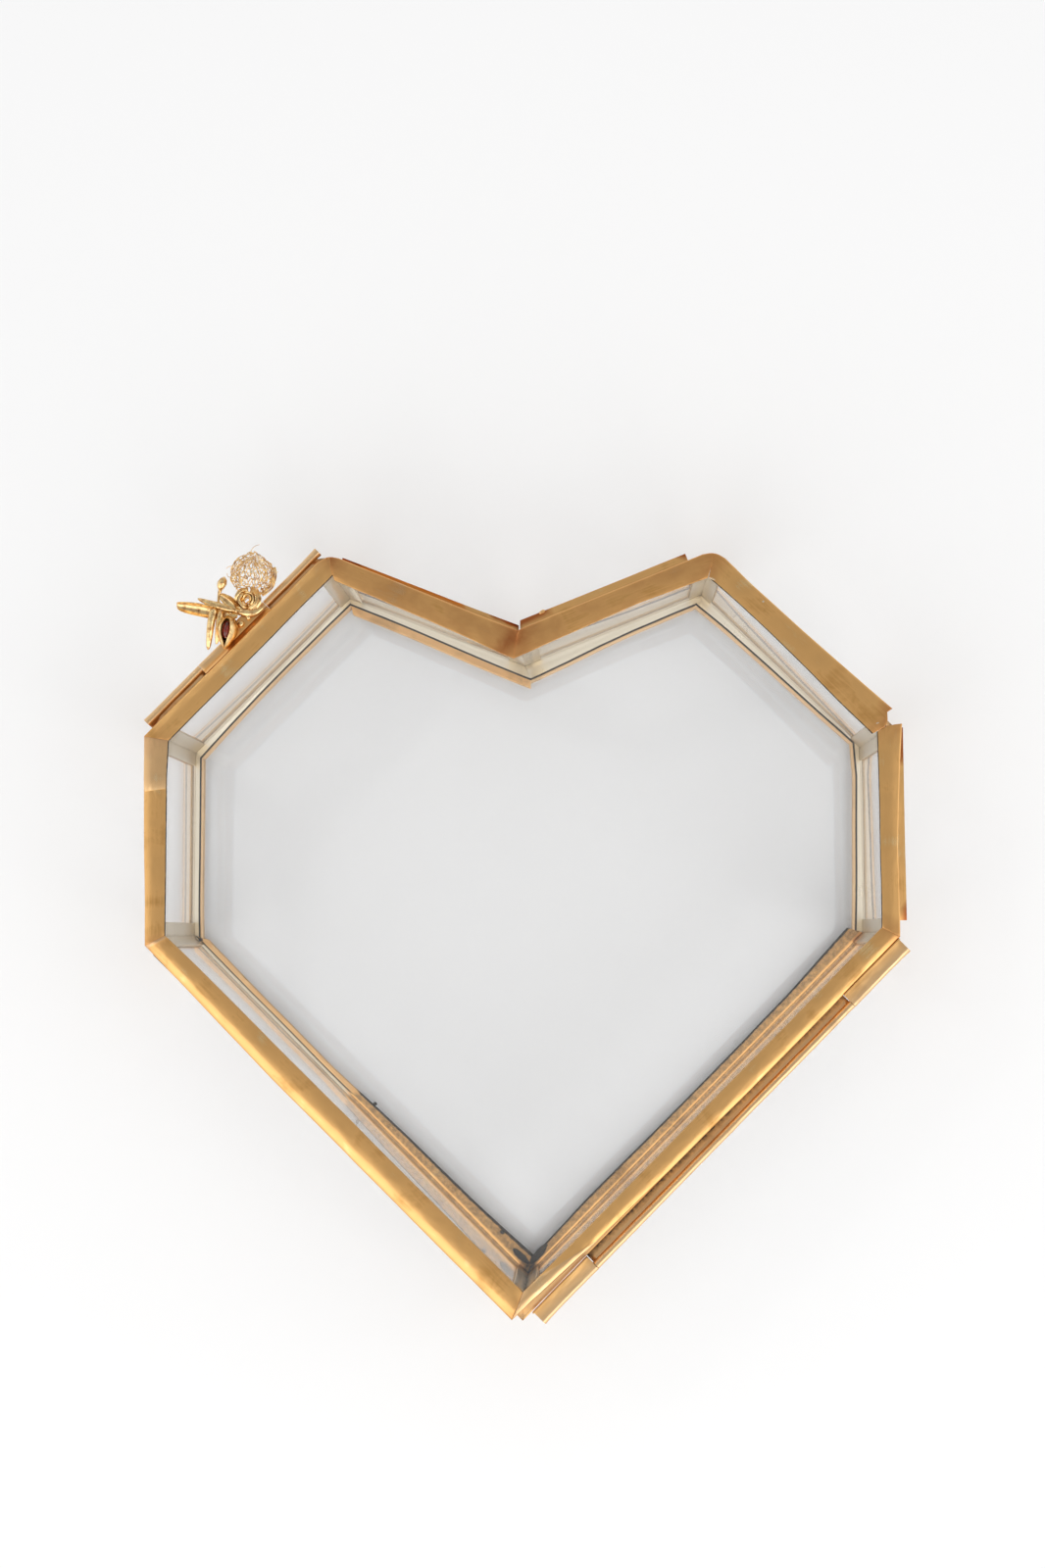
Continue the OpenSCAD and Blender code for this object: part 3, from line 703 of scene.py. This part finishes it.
def dress_floor(piece, i, length):
    slice_at(piece, 1, FLOOR_ROWS)

    def finish(co):
        smoked = 1.5 * tip_end(i, co, 9)
        # The strip is painted darker here, partly a real tan-brown tone and partly painted shadow,
        # and darkest as painted shade along its inner edge
        if is_browned_and_shaded(i, co):
            if co.y < BROWN_START:
                return (max(0.2, smoked), 0.1, 0)
            return (max(0.95 if co.y > SHADED_RIM_START else 0.55, smoked), 0.15, 0)
        if co.y < FOOT_END:
            return (0, 0, 1)
        # Painted shade: a dark band on the strip along its gap to the wall
        gap_shade = 1.0 if co.y < SHADED_GAP_END else 0.0
        return (max(gap_shade, 0.5 * ends(length, co, 5)), 0, 0.15 if i in (4, 7) else 0.4)

    lay(piece, finish)
    # A broad strip is pulled at its inner edge; the others move as a whole and leave a tinned
    # foot behind them
    from_inset, to_inset = (3.2, 5.9) if i in (0, 7) else (3.15, 3.3)
    stray(piece, i, FLOOR_STRAYS, from_inset, to_inset)


class CASKET_OT_floor(bpy.types.Operator):
    """Dress the eight channels of the floor, with painted shade along their gap to the wall"""
    bl_idname = "casket.floor"
    bl_label = "Floor"

    def execute(self, context):
        heights = (0, CHANNEL_DEPTH)
        dress_channels("floor", CHANNEL_DEPTH, heights, "case", 0.4, dress_floor)
        return {"FINISHED"}


def dress_wall(piece, i, length):
    slice_at(piece, 2, range(4, int(WALL_HEIGHT), 6))

    def finish(co):
        low = co.z < 8 and is_browned_and_shaded(i, co)
        inside = co.y > 2.4
        inner = 0.95 if inside and co.z < WALL_HEIGHT - 0.5 and not low else 0.0
        burnt = 1.6 if co.y < -0.6 and ends(length, co, 8) > 0.02 else 0.0
        dark = 0.7 if i == 7 and burnt else 0.0
        # The soot of the soldering lies on the inside alone, near the tip; low on the inside of
        # the shaded hinge side walls the channel is also painted half dark, as painted shade near
        # the floor
        wall_soot_and_shade = inside * max(0.5 if low else 0.0, 1.3 * tip_end(i, co, 7) * (co.z < 30))
        return (max(dark, wall_soot_and_shade, 0.55 * ends(length, co, 4)), burnt, inner)

    lay(piece, finish)


class CASKET_OT_walls(bpy.types.Operator):
    """Dress the eight wall channels, tinned with solder on their inner faces"""
    bl_idname = "casket.walls"
    bl_label = "Walls"

    def execute(self, context):
        dress_channels("wall", 0, (0, WALL_HEIGHT), "case", 0.4, dress_wall)
        return {"FINISHED"}


def dress_lid(piece, i, length):
    brass = bpy.context.scene.casket_brass
    flange = WIDE_LID_FLANGE if i in WIDE_LID_SIDES else LID_FLANGE
    laps = []
    for a, b in LID_LAPS.get(i, ()):
        a, b = Vector((*a, 0)), Vector((*b, 0))
        laps.append((a, (b - a).cross(Vector((0, 0, 1))).normalized()))

    def is_lapped(co):
        return any((co - a).xy.dot(normal.xy) > LAP_EDGE for a, normal in laps)

    rows = [0.1, 0.2, 0.3, 0.4, 0.6, 0.8, 1 - 0.3 / flange]
    slice_at(piece, 1, [flange * row for row in rows])
    bisect(piece, [(a + step * normal, normal) for a, normal in laps for step in (0, 0.25)])
    wide, deep = LID_ROLLS.get(i, (1, 0))
    for v in piece.data.vertices:
        if v.co.z < CASE_HEIGHT - 0.6:
            continue
        across = clamp((v.co.y - FOLD_ROOM) / (flange - FOLD_ROOM))
        rise = brass.crown / MM * sin(pi * across)
        rise -= deep * max(0, 1 - v.co.y / wide) ** 2
        if is_lapped(v.co):
            rise += brass.lap / MM
        v.co.z += rise

    def finish(co):
        warm = 0.9 if i in (3, 4) else 0.35
        seam = 1.0 if i in WIDE_LID_SIDES else 0.6
        # Painted shade: a thin dark line along each strip's inner edge, darker on sides 1, 2, 5
        # and 6
        shaded = 0.9 if i in (1, 2, 5, 6) else 0.4
        rim = shaded if co.y > flange - 0.1 else 0.0
        # Painted sheen: the lapped ends are painted a fifth of the way to the pale tin colour,
        # where they catch the light
        return (max(rim, 0.32 * ends(length, co, 2.0)),
                max(warm * 0.5, seam * ends(length, co, 9)), 0.22 * is_lapped(co))

    lay(piece, finish)
    file_ends(piece, i, flange)
    stray(piece, i, LID_STRAYS, 0, flange)


class CASKET_OT_lid(bpy.types.Operator):
    """Dress the eight lid channels: crowned, straying from true, and lapped at their ends"""
    bl_idname = "casket.lid"
    bl_label = "Lid"

    def execute(self, context):
        dress_channels("lid", 0, (WALL_HEIGHT, CASE_HEIGHT), "lid", 0.7, dress_lid)
        return {"FINISHED"}


class CASKET_OT_glass(bpy.types.Operator):
    """Give every pane its glass"""
    bl_idname = "casket.glass"
    bl_label = "Glass"

    def execute(self, context):
        for name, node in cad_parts.items():
            if "glass" in name:
                paint(node, "clear_glass")
        return {"FINISHED"}


# Solder left on the outside and inside of the joints: side, place on it, size, tilt, finish, body
SOLDER = [
    (0, (9.0, 4.9, 3.15), (3.6, 1.0, 0.3), 4, (1, 0, 0), "case"),
    (7, (128.5, 5.2, 3.15), (3.0, 0.9, 0.3), 3, (1, 0, 0), "case"),
    (7, (120.2, 6.2, 3.0), (0.7, 0.6, 0.3), 12, (1, 0, 0), "case"),
    (7, (70.5, 6.1, 3.0), (0.6, 0.5, 0.25), 12, (1, 0, 0), "case"),
    (2, (46.5, 0.9, 50.05), (0.55, 0.5, 0.14), 0, (0, 0, 0.9), "lid"),
    (2, (48.9, 1.8, 50.1), (0.5, 0.45, 0.14), 0, (0, 0, 0.9), "lid"),
    (2, (3.6, 2.6, 50.15), (0.9, 0.35, 0.12), 60, (0, 0, 0.7), "lid"),
    (2, (60.0, 5.6, 50.0), (1.1, 0.25, 0.12), 25, (0, 0, 0.6), "lid"),
    (3, (47.0, -2.2, 46.6), (1.0, 0.6, 0.5), 10, (0, 0.2, 0.1), "case"),
]


class CASKET_OT_solder(bpy.types.Operator):
    """Model the lumps of solder left at the joints"""
    bl_idname = "casket.solder"
    bl_label = "Solder"

    def execute(self, context):
        for k, (side, spot, size, tilt, finish, body) in enumerate(SOLDER):
            piece = new_piece(
                f"solder_{k + 1}", bpy.ops.mesh.primitive_ico_sphere_add, subdivisions=3, radius=1
            )
            resize(piece, size)
            lay(piece, lambda co: finish)
            turn = Matrix.Rotation(radians(tilt), 4, "Z")
            place(piece, side_frame(side) @ Matrix.Translation(spot) @ turn)
            wander(piece, 0.35, 0.8)
            smooth(piece, 80)
            finish_piece(piece, body, "folded_brass")
        return {"FINISHED"}


# Hinge and clasp

BARREL_RADIUS = 1.1
# Node, side, reach of its axis from the wall, body, and how far its two ends are belled
BARRELS = [
    ("wall_hinge_barrel", HINGE_SIDE, 3.4, "case", (0.02, 0.02)),
    ("tip_hinge_barrel", HINGE_SIDE, 3.4, "lid", (0.22, 0.04)),
    ("side_hinge_barrel", HINGE_SIDE, 3.4, "lid", (0.05, 0.16)),
    ("shoulder_clasp_barrel", CLASP_SIDE, 2.5, "case", (0.12, 0.03)),
    ("side_clasp_barrel", CLASP_SIDE, 2.5, "case", (0.03, 0.1)),
    ("lid_clasp_barrel", CLASP_SIDE, 2.5, "lid", (0.03, 0.03)),
]
# How dark each leaf is painted: painted shade in the groove between its barrel and the strip that
# it is soldered to
LEAF_SHADE = {
    "wall_hinge_barrel": 0.8, "tip_hinge_barrel": 0.1, "side_hinge_barrel": 0.1,
    "shoulder_clasp_barrel": 0.8, "side_clasp_barrel": 0.9, "lid_clasp_barrel": 0.25,
}


def dress_barrel(node, side, reach, body, belled):
    piece = copy_node(node, node + "_dressed", side_frame(side))
    low = min(v.co.x for v in piece.data.vertices)
    high = max(v.co.x for v in piece.data.vertices)
    soften(piece, 0.09)
    steps = int((high - low) / 1.2)
    slice_at(piece, 0, [low + (high - low) * k / steps for k in range(1, steps)])
    axis = Vector((-reach, WALL_HEIGHT))
    outside = BARREL_RADIUS + 0.02
    leaf = [v for v in piece.data.vertices if (v.co.yz - axis).length > outside]
    leaf_low = min(v.co.x for v in leaf)
    for v in leaf:
        # The leaf is cut as long as the barrel, so that no light shows between them
        if v.co.x < leaf_low + 0.3:
            v.co.x = low - 0.15
        elif v.co.x > high - 0.3:
            v.co.x = high + 0.15
    for v in piece.data.vertices:
        off = v.co.yz - axis
        if off.length > outside:
            continue
        if v.co.x < low + 0.05:
            v.co.x -= 0.12
        elif v.co.x > high - 0.05:
            v.co.x += 0.12
        near = exp(-(v.co.x - low) / 1.6) * belled[0]
        far = exp(-(high - v.co.x) / 1.6) * belled[1]
        # Rolled by hand round a rod, so that it is a little fuller here and there
        rolled = 0.025 * sin(0.9 * v.co.x + side) * sin(0.37 * v.co.x)
        v.co.yz = axis + off * (1 + near + far + rolled)

    def finish(co):
        away = (co.yz - axis).length
        # Painted shade on the leaf beside the barrel
        if away > 1.28 * BARREL_RADIUS:
            return (LEAF_SHADE[node], 0.1, 0.0)
        # Painted shade: the inside of the rolled tube is painted black
        if away < BARREL_RADIUS - 0.25:
            return (1.0, 0.0, 0.0)
        # Painted shade, fading in from the tube's open ends
        mouth_shade = max(0, 1 - min(co.x - low, high - co.x) / 0.7)
        return (0.25 * mouth_shade, 0.0, 0.3)

    lay(piece, finish)
    place(piece, side_frame(side))
    wander(piece, 0.5 * bpy.context.scene.casket_brass.wander / MM, 9.0, "XYZ")
    smooth(piece)
    finish_piece(piece, body, "folded_brass", node)


class CASKET_OT_barrels(bpy.types.Operator):
    """Dress the rolled hinge and clasp barrels, their leaves and the pin"""
    bl_idname = "casket.barrels"
    bl_label = "Barrels"

    def execute(self, context):
        for barrel in BARRELS:
            dress_barrel(*barrel)
        paint(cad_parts["hinge_pin"], "pin_wire")
        backing = copy_node("spray_backing", "spray_backing_dressed", side_frame(CLASP_SIDE))
        modify(backing, "BEVEL", width=0.12, segments=3, limit_method="ANGLE")
        lay(backing, lambda co: (0.15, 0.3, 0))
        place(backing, side_frame(CLASP_SIDE))
        smooth(backing)
        finish_piece(backing, "lid", "folded_brass", "spray_backing")
        return {"FINISHED"}


# Flower spray: places in it run along the clasp side, in towards the lid, and up

def line_through(points, t):
    """A point on the smooth line through points, t from 0 to 1, and the line's direction."""
    spans = len(points) - 1
    k = min(int(t * spans), spans - 1)
    s = t * spans - k
    a, b, c, d = (Vector(points[max(0, min(spans, k + j))]) for j in (-1, 0, 1, 2))
    bend, twist = 2 * a - 5 * b + 4 * c - d, 3 * b - a - 3 * c + d
    spot = 0.5 * (2 * b + (c - a) * s + bend * s * s + twist * s ** 3)
    way = 0.5 * ((c - a) + 2 * bend * s + 3 * twist * s * s)
    return spot, way.normalized()


def foil(name, form, thickness, columns=24, rows=10):
    """A sheet of foil: a grid pressed over a form, which gives the place of each share along
    and across it, and then given its thickness."""
    piece = new_piece(
        name, bpy.ops.mesh.primitive_grid_add, x_subdivisions=columns, y_subdivisions=rows, size=2
    )
    for v in piece.data.vertices:
        v.co = form((v.co.x + 1) / 2, v.co.y)
    modify(piece, "SOLIDIFY", thickness=thickness, offset=0)
    modify(piece, "BEVEL", width=thickness * 0.3, segments=2, limit_method="ANGLE",
           angle_limit=radians(50))
    modify(piece, "SUBSURF", levels=1, render_levels=1)
    return piece


def leaf_form(spine, half, cup, roll, root, blunt):
    """The form of a leaf: laid along a spine, cupped across and rolled about it."""
    def form(s, w):
        middle, way = line_through(spine, s)
        side = way.cross(Vector((0, 0, 1))).normalized()
        side.rotate(Matrix.Rotation(radians(roll), 3, way))
        up = side.cross(way)
        swell = max(sin(pi * clamp(s) ** 0.85), 0) ** blunt
        width = half * max(root * (1 - s), swell, 0.05)
        angle = radians(cup)
        return (
            middle + side * (width * sin(w * angle) / angle)
            + up * (width * (1 - cos(w * angle)) / angle)
        )
    return form


NET_CENTRE = Vector((-15.0, -7.5, 1.9))
# The blossom's mouth leans out of the spray, towards the shoulder
NET_LEAN = Matrix.Rotation(radians(38), 3, Vector((0.5, -0.9, 0)))
ROSETTE_CENTRE = Vector((-9.5, -3.7, 0))
ROSETTE_RADIUS = 3.1


def knitted_row(name, radius, lat, wave, lift, wire, shift):
    """One row of the knitted wire: a closed loop that waves up and down round the ball."""
    around = 2 * pi * radius * cos(radians(lat))
    waves = max(4, round(around / wave))
    points = []
    for k in range(4 * waves):
        lon = 2 * pi * (k / (4 * waves) + shift)
        high = radians(lat) + lift / radius * sin(pi * k / 2)
        spot = radius * Vector((cos(high) * cos(lon), cos(high) * sin(lon), sin(high)))
        points.append(NET_CENTRE + NET_LEAN @ spot)
    return tube(name, points, [wire / 2] * len(points), 6, 3, closed=True)


class CASKET_OT_blossom(bpy.types.Operator):
    """Model the wire-net blossom: knitted rows, crumpled, with a hem and frayed ends"""
    bl_idname = "casket.blossom"
    bl_label = "Wire-net blossom"

    def execute(self, context):
        spray = context.scene.casket_spray
        wire = spray.net_wire / MM
        radius = spray.net_radius / MM
        rows = []
        for share, spacing, wave, turn in ((1.0, 16.5, 1.75, 0.0), (0.72, 30.0, 2.2, 0.4)):
            lat, k = -50.0, 0
            while lat < 84:
                # Neighbouring rows hang half a wave apart, so that they cross
                around = 2 * pi * radius * share * cos(radians(lat))
                shift = 0.5 * (k % 2) / max(4, round(around / wave))
                rows.append(knitted_row(
                    f"row{len(rows)}", radius * share, lat, wave, 0.95, wire, shift + turn
                ))
                lat += spacing
                k += 1
        net = join("net_blossom_wires", *rows)
        wander(net, 1.7, 3.1, "XYZ")
        wander(net, 0.7, 1.1, "XYZ")

        def inside_rosette(points):
            middle = sum(points, Vector()) / len(points)
            away = middle - ROSETTE_CENTRE
            return hypot(away.x, away.y) < ROSETTE_RADIUS or middle.z < -2.4

        pick(net, "FACE", inside_rosette)
        bpy.ops.mesh.delete(type="FACE")
        leave_edit()
        parts = [net]
        # Folded hem on the side of the barrels
        for k in range(3):
            reach = radius * 0.98 + 0.42 * k
            points = [
                NET_CENTRE + Vector((
                    reach * cos(angle), reach * sin(angle),
                    -1.1 - 0.2 * k + 0.25 * sin(2.1 * angle * 4 + k),
                )) for angle in (radians(70 + 12 * j) for j in range(8))
            ]
            parts.append(tube(f"hem{k}", points, [0.2 + 0.04 * ((j + k) % 2) for j in range(8)]))
        # Frayed hair wires
        for hair in (
            [(-18.0, -10.9, 3.4), (-19.2, -11.4, 3.9), (-20.6, -11.5, 4.0), (-21.8, -11.0, 3.8)],
            [(-18.6, -4.2, 1.6), (-19.4, -3.5, 1.8), (-20.2, -2.9, 1.7)],
            [(-12.9, -12.3, 2.5), (-12.2, -12.9, 2.7), (-11.3, -13.1, 2.4)],
            [(-10.6, -10.6, 1.5), (-10.2, -11.6, 1.5), (-10.6, -12.4, 1.2)],
        ):
            parts.append(tube("hair", hair, [0.09, 0.08, 0.07, 0.05][:len(hair)], 4))
        finish_gilt(join("net_blossom_wires", *parts), 60, "net_blossom")
        return {"FINISHED"}


# Petals of the rosette, from the heart out: radius, start and sweep in degrees, height, curl
PETALS = [
    (0.75, 20, 300, 2.7, 0.3),
    (1.35, 60, 200, 2.6, 0.45),
    (1.75, 250, 150, 2.4, 0.5),
    (2.1, 40, 170, 2.3, 0.7),
    (2.6, 225, 120, 2.2, 0.6),
    (2.75, 60, 150, 1.9, 0.8),
    (2.9, 330, 120, 1.5, 0.7),
]


class CASKET_OT_rosette(bpy.types.Operator):
    """Roll the rosette from overlapping petals with curled rims, on its folded leaf"""
    bl_idname = "casket.rosette"
    bl_label = "Rosette"

    def execute(self, context):
        thickness = context.scene.casket_spray.petal / MM
        petals = []
        for k, (radius, start, sweep, height, curl) in enumerate(PETALS):
            def form(s, w, radius=radius, start=start, sweep=sweep, height=height, curl=curl):
                angle = radians(start + sweep * s)
                side = sin(pi * clamp(s)) ** 0.6
                up = (w + 1) / 2
                full = 0.25 + 0.75 * side
                # Leans out as it rises, then its rim curls over
                lean = radius * (0.45 + 0.55 * up ** 0.6) + 0.25 * s
                over = max(0, up - 0.7) / 0.3
                lean += curl * over ** 1.2
                rise = height * full * up - 0.9 * curl * over ** 2
                return ROSETTE_CENTRE + Vector((
                    lean * cos(angle), lean * sin(angle), 0.05 + max(rise, 0)
                ))
            petals.append(foil(f"petal{k}", form, thickness, 28, 9))
        rosette = join("rosette_petals", *petals)
        wander(rosette, 0.45, 1.4, "XYZ")
        finish_gilt(rosette, 60, "rosette")
        return {"FINISHED"}


# Leaves: node or none, name, spine, half width, cup, roll, root share, bluntness
LEAVES = [
    ("long_leaf", "long_leaf_folded",
     [(-5.0, -2.7, 1.0), (-3.4, -5.1, 1.05), (0.2, -10.2, 1.25), (3.2, -14.4, 1.1),
      (4.4, -16.0, 0.9)], 2.5, 78, -32, 0.45, 0.5),
    ("thin_leaf", "thin_leaf_folded",
     [(-5.3, -3.5, 2.3), (-3.6, -6.8, 2.75), (-1.8, -10.2, 2.6), (-0.55, -12.8, 2.2)],
     0.85, -55, 8, 0.5, 0.6),
    ("drooping_leaves", "drooping_leaf_long",
     [(-1.9, -8.0, 2.5), (-1.0, -7.3, 3.2), (2.6, -4.9, 2.6), (7.0, -1.8, 0.5)],
     1.25, -75, -10, 0.95, 0.4),
    ("drooping_leaves", "drooping_leaf_short",
     [(-2.4, -6.3, 2.6), (-1.3, -5.5, 3.0), (1.6, -3.3, 2.6), (4.4, -1.2, 1.0)],
     0.95, -75, 10, 0.9, 0.4),
    (None, "base_leaf",
     [(-5.0, -4.0, 0.9), (-6.6, -1.7, 1.2), (-8.6, -0.1, 1.2), (-11.0, 0.6, 0.8)],
     1.05, -60, 0, 0.7, 0.5),
    (None, "outer_leaf",
     [(-5.8, -2.9, 0.4), (-5.9, -5.2, 0.7), (-5.7, -7.6, 0.8), (-5.2, -9.8, 0.7)],
     1.6, 50, -10, 0.7, 0.5),
]


class CASKET_OT_leaves(bpy.types.Operator):
    """Model the folded leaves"""
    bl_idname = "casket.leaves"
    bl_label = "Leaves"

    def execute(self, context):
        thickness = context.scene.casket_spray.petal / MM
        for node, name, spine, half, cup, roll, root, blunt in LEAVES:
            piece = foil(name, leaf_form(spine, half, cup, roll, root, blunt), thickness)
            wander(piece, 0.18, 2.2, "XYZ")
            finish_gilt(piece, 50, node)
        return {"FINISHED"}


class CASKET_OT_bud(bpy.types.Operator):
    """Model the bud on its bent stem"""
    bl_idname = "casket.bud"
    bl_label = "Bud"

    def execute(self, context):
        points = [
            (-5.4, -2.4, 0.45), (-3.4, -5.6, 0.45), (-3.6, -8.4, 0.45), (-4.9, -9.9, 0.6),
            (-6.1, -10.6, 0.8), (-6.9, -11.0, 1.0), (-7.9, -11.5, 1.15), (-8.9, -11.9, 1.2),
            (-9.5, -12.15, 1.2),
        ]
        piece = tube(
            "bud_on_stem", points, [0.32, 0.34, 0.36, 0.36, 0.5, 1.0, 1.25, 0.95, 0.15], 14, 6
        )
        wander(piece, 0.25, 0.9, "XYZ")
        finish_gilt(piece, 60, "bud")
        return {"FINISHED"}


CALYX_ROOT = Vector((-3.1, -3.9, 1.7))
CALYX_TIP = Vector((3.7, 1.2, 1.3))
# Petals of the calyx: fullness, and the angles from upright of its open rim and its lower edge
CALYX_PETALS = [(2.45, -26, -215), (2.5, 24, 190), (1.8, 48, 150)]
# The stone's half sizes, and its place along the calyx and up from its middle line
STONE_HALVES = (2.3, 1.35, 1.35)
STONE_ALONG, STONE_LIFT = 3.7, 0.75


class CASKET_OT_stone(bpy.types.Operator):
    """Model the calyx's enclosing petals, the stone in it and the beads"""
    bl_idname = "casket.stone"
    bl_label = "Stone and beads"

    def execute(self, context):
        thickness = context.scene.casket_spray.petal / MM
        way = (CALYX_TIP - CALYX_ROOT).normalized()
        side = way.cross(Vector((0, 0, 1))).normalized() * -1
        up = way.cross(side)
        length = (CALYX_TIP - CALYX_ROOT).length
        petals = []
        for k, (full, rim, low) in enumerate(CALYX_PETALS):
            def form(s, w, full=full, rim=rim, low=low):
                share = (w + 1) / 2
                # The rim gapes in the middle of its length and closes at neck and tip
                gape = sin(pi * clamp(s) ** 0.8) ** 0.8
                angle = radians(low + (rim * gape + 2 * (1 - gape) - low) * share)
                radius = 0.42 * (1 - s) + full * max(sin(pi * s ** 0.8), 0) ** 0.75
                radius *= 1 + 0.1 * gape * max(0, share - 0.85) / 0.15
                return (
                    CALYX_ROOT + way * (length * s)
                    + (up * cos(angle) + side * sin(angle)) * max(radius, 0.05)
                )
            petals.append(foil(f"calyx{k}", form, thickness, 26, 12))
        calyx = join("stone_calyx_petals", *petals)
        # It lies on the backing, so that it is no deeper below than it was stamped
        for v in calyx.data.vertices:
            v.co.z = max(v.co.z, 0.02)
        wander(calyx, 0.2, 1.6)
        finish_gilt(calyx, 50, "stone_calyx")

        stone = new_piece(
            "stone_polished", bpy.ops.mesh.primitive_uv_sphere_add, segments=32, ring_count=20,
            radius=1,
        )
        resize(stone, STONE_HALVES)
        turn = Matrix((way, side, up)).transposed().to_4x4()
        middle = CALYX_ROOT + way * STONE_ALONG + up * STONE_LIFT
        place(stone, SPRAY @ Matrix.Translation(middle) @ turn)
        smooth(stone, 80)
        finish_piece(stone, "lid", "red_stone", "stone")

        beads = copy_node("beads", "beads_dressed", SPRAY)
        modify(beads, "DISPLACE", strength=0.15, mid_level=0.0)
        wander(beads, 0.15, 0.8, "XYZ")
        finish_gilt(beads, 80, "beads")
        return {"FINISHED"}


# Stage

CAMERA_PLACE = (18.45 * MM, 0.5 * MM, 551.8 * MM)
CAMERA_TURN = (0.0777, 0.0357, -0.0046)


class CASKET_OT_stage(bpy.types.Operator):
    """Set the pale floor, the soft studio light and the camera"""
    bl_idname = "casket.stage"
    bl_label = "Stage"

    def execute(self, context):
        stage = context.scene.casket_stage
        scene = context.scene
        floor = new_piece("studio_floor", bpy.ops.mesh.primitive_plane_add, size=stage.floor_size)
        paint(floor, "table")

        world = scene.world or bpy.data.worlds.new("Studio")
        scene.world = world
        world.use_nodes = True
        world.node_tree.nodes.clear()
        add = partial(add_node, world.node_tree)
        path = add("LightPath")
        way = add("TexCoord")
        axes = add("SeparateXYZ", {"Vector": way.outputs["Generated"]})
        # Metal and glass mirror a ceiling and a far end that are dimmer than the pale studio
        overhead = add("MapRange", {
            "Value": axes.outputs["Z"], "From Min": 0.5, "From Max": 0.985, "To Min": 1.0,
            "To Max": stage.ceiling,
        }, interpolation_type="SMOOTHSTEP")
        beyond = add("MapRange", {
            "Value": axes.outputs["Y"], "From Min": -0.4, "From Max": 0.8, "To Min": 1.0,
            "To Max": stage.far_end,
        }, interpolation_type="SMOOTHSTEP")
        mirrored = add("Math", {0: overhead, 1: beyond}, operation="MULTIPLY")
        lit = add("Mix", {
            "Factor": path.outputs["Is Glossy Ray"], "A": stage.sky_light, "B": mirrored,
        })
        seen = add("Math", {
            0: path.outputs["Is Camera Ray"], 1: path.outputs["Is Transmission Ray"],
        }, operation="MAXIMUM")
        strength = add("Mix", {"Factor": seen, "A": lit, "B": 1.0})
        sky = add("Background", {"Color": (1, 1, 1, 1), "Strength": strength})
        add("OutputWorld", {"Surface": sky})

        lamps = [
            ("key_right", (0.75, -0.75, 0.8), 1.0, 1.15 * stage.key_power),
            ("key_left", (-0.6, -0.75, 0.85), 1.0, 0.85 * stage.key_power),
            ("glint", (-0.6, 0.5, 0.9), 0.05, stage.glint_power),
            ("rim_left", (-1.1, -0.3, 0.35), 0.5, stage.rim_power),
            ("rim_right", (1.1, 0.2, 0.4), 0.5, stage.rim_power),
        ]
        for name, spot, size, power in lamps:
            bpy.ops.object.light_add(type="AREA", location=spot)
            lamp = context.object
            lamp.name = "lamp_" + name
            lamp.data.shape = "SQUARE"
            lamp.data.size = size
            lamp.data.energy = power
            aim = Vector((0, 0, 0.03)) - Vector(spot)
            lamp.rotation_euler = aim.to_track_quat("-Z", "Y").to_euler()

        bpy.ops.object.camera_add(location=CAMERA_PLACE, rotation=CAMERA_TURN)
        camera = context.object
        camera.name = "camera"
        camera.data.sensor_fit = "VERTICAL"
        camera.data.sensor_height = 36
        camera.data.lens = 45
        camera.data.clip_start = 0.01
        scene.camera = camera
        scene.view_settings.view_transform = "Standard"
        return {"FINISHED"}


class CASKET_PT_sidebar(bpy.types.Panel):
    """The casket's pieces and settings"""
    bl_label = "Glass casket"
    bl_idname = "CASKET_PT_sidebar"
    bl_space_type = "VIEW_3D"
    bl_region_type = "UI"
    bl_category = "Casket"

    def draw(self, context):
        column = self.layout.column()
        for operator in OPERATORS:
            column.operator(operator.bl_idname)
        for group, keys in GROUPS.items():
            settings = getattr(context.scene, group)
            column.separator()
            for key in keys.__annotations__:
                column.prop(settings, key)


GROUPS = {
    "casket_stage": CasketStageSettings,
    "casket_brass": CasketBrassSettings,
    "casket_glass": CasketGlassSettings,
    "casket_spray": CasketSpraySettings,
}
OPERATORS = [
    CASKET_OT_stage, CASKET_OT_glass, CASKET_OT_floor, CASKET_OT_walls, CASKET_OT_lid,
    CASKET_OT_solder, CASKET_OT_barrels, CASKET_OT_blossom, CASKET_OT_rosette, CASKET_OT_leaves,
    CASKET_OT_bud, CASKET_OT_stone,
]


def register():
    for cls in [*GROUPS.values(), *OPERATORS, CASKET_PT_sidebar]:
        bpy.utils.register_class(cls)
    for name, cls in GROUPS.items():
        setattr(bpy.types.Scene, name, bpy.props.PointerProperty(type=cls))


def unregister():
    for name in GROUPS:
        delattr(bpy.types.Scene, name)
    for cls in reversed([*GROUPS.values(), *OPERATORS, CASKET_PT_sidebar]):
        bpy.utils.unregister_class(cls)


def main():
    register()
    for operator in OPERATORS:
        group, name = operator.bl_idname.split(".")
        getattr(getattr(bpy.ops, group), name)()
    bpy.context.view_layer.update()


if __name__ == "__main__":
    main()
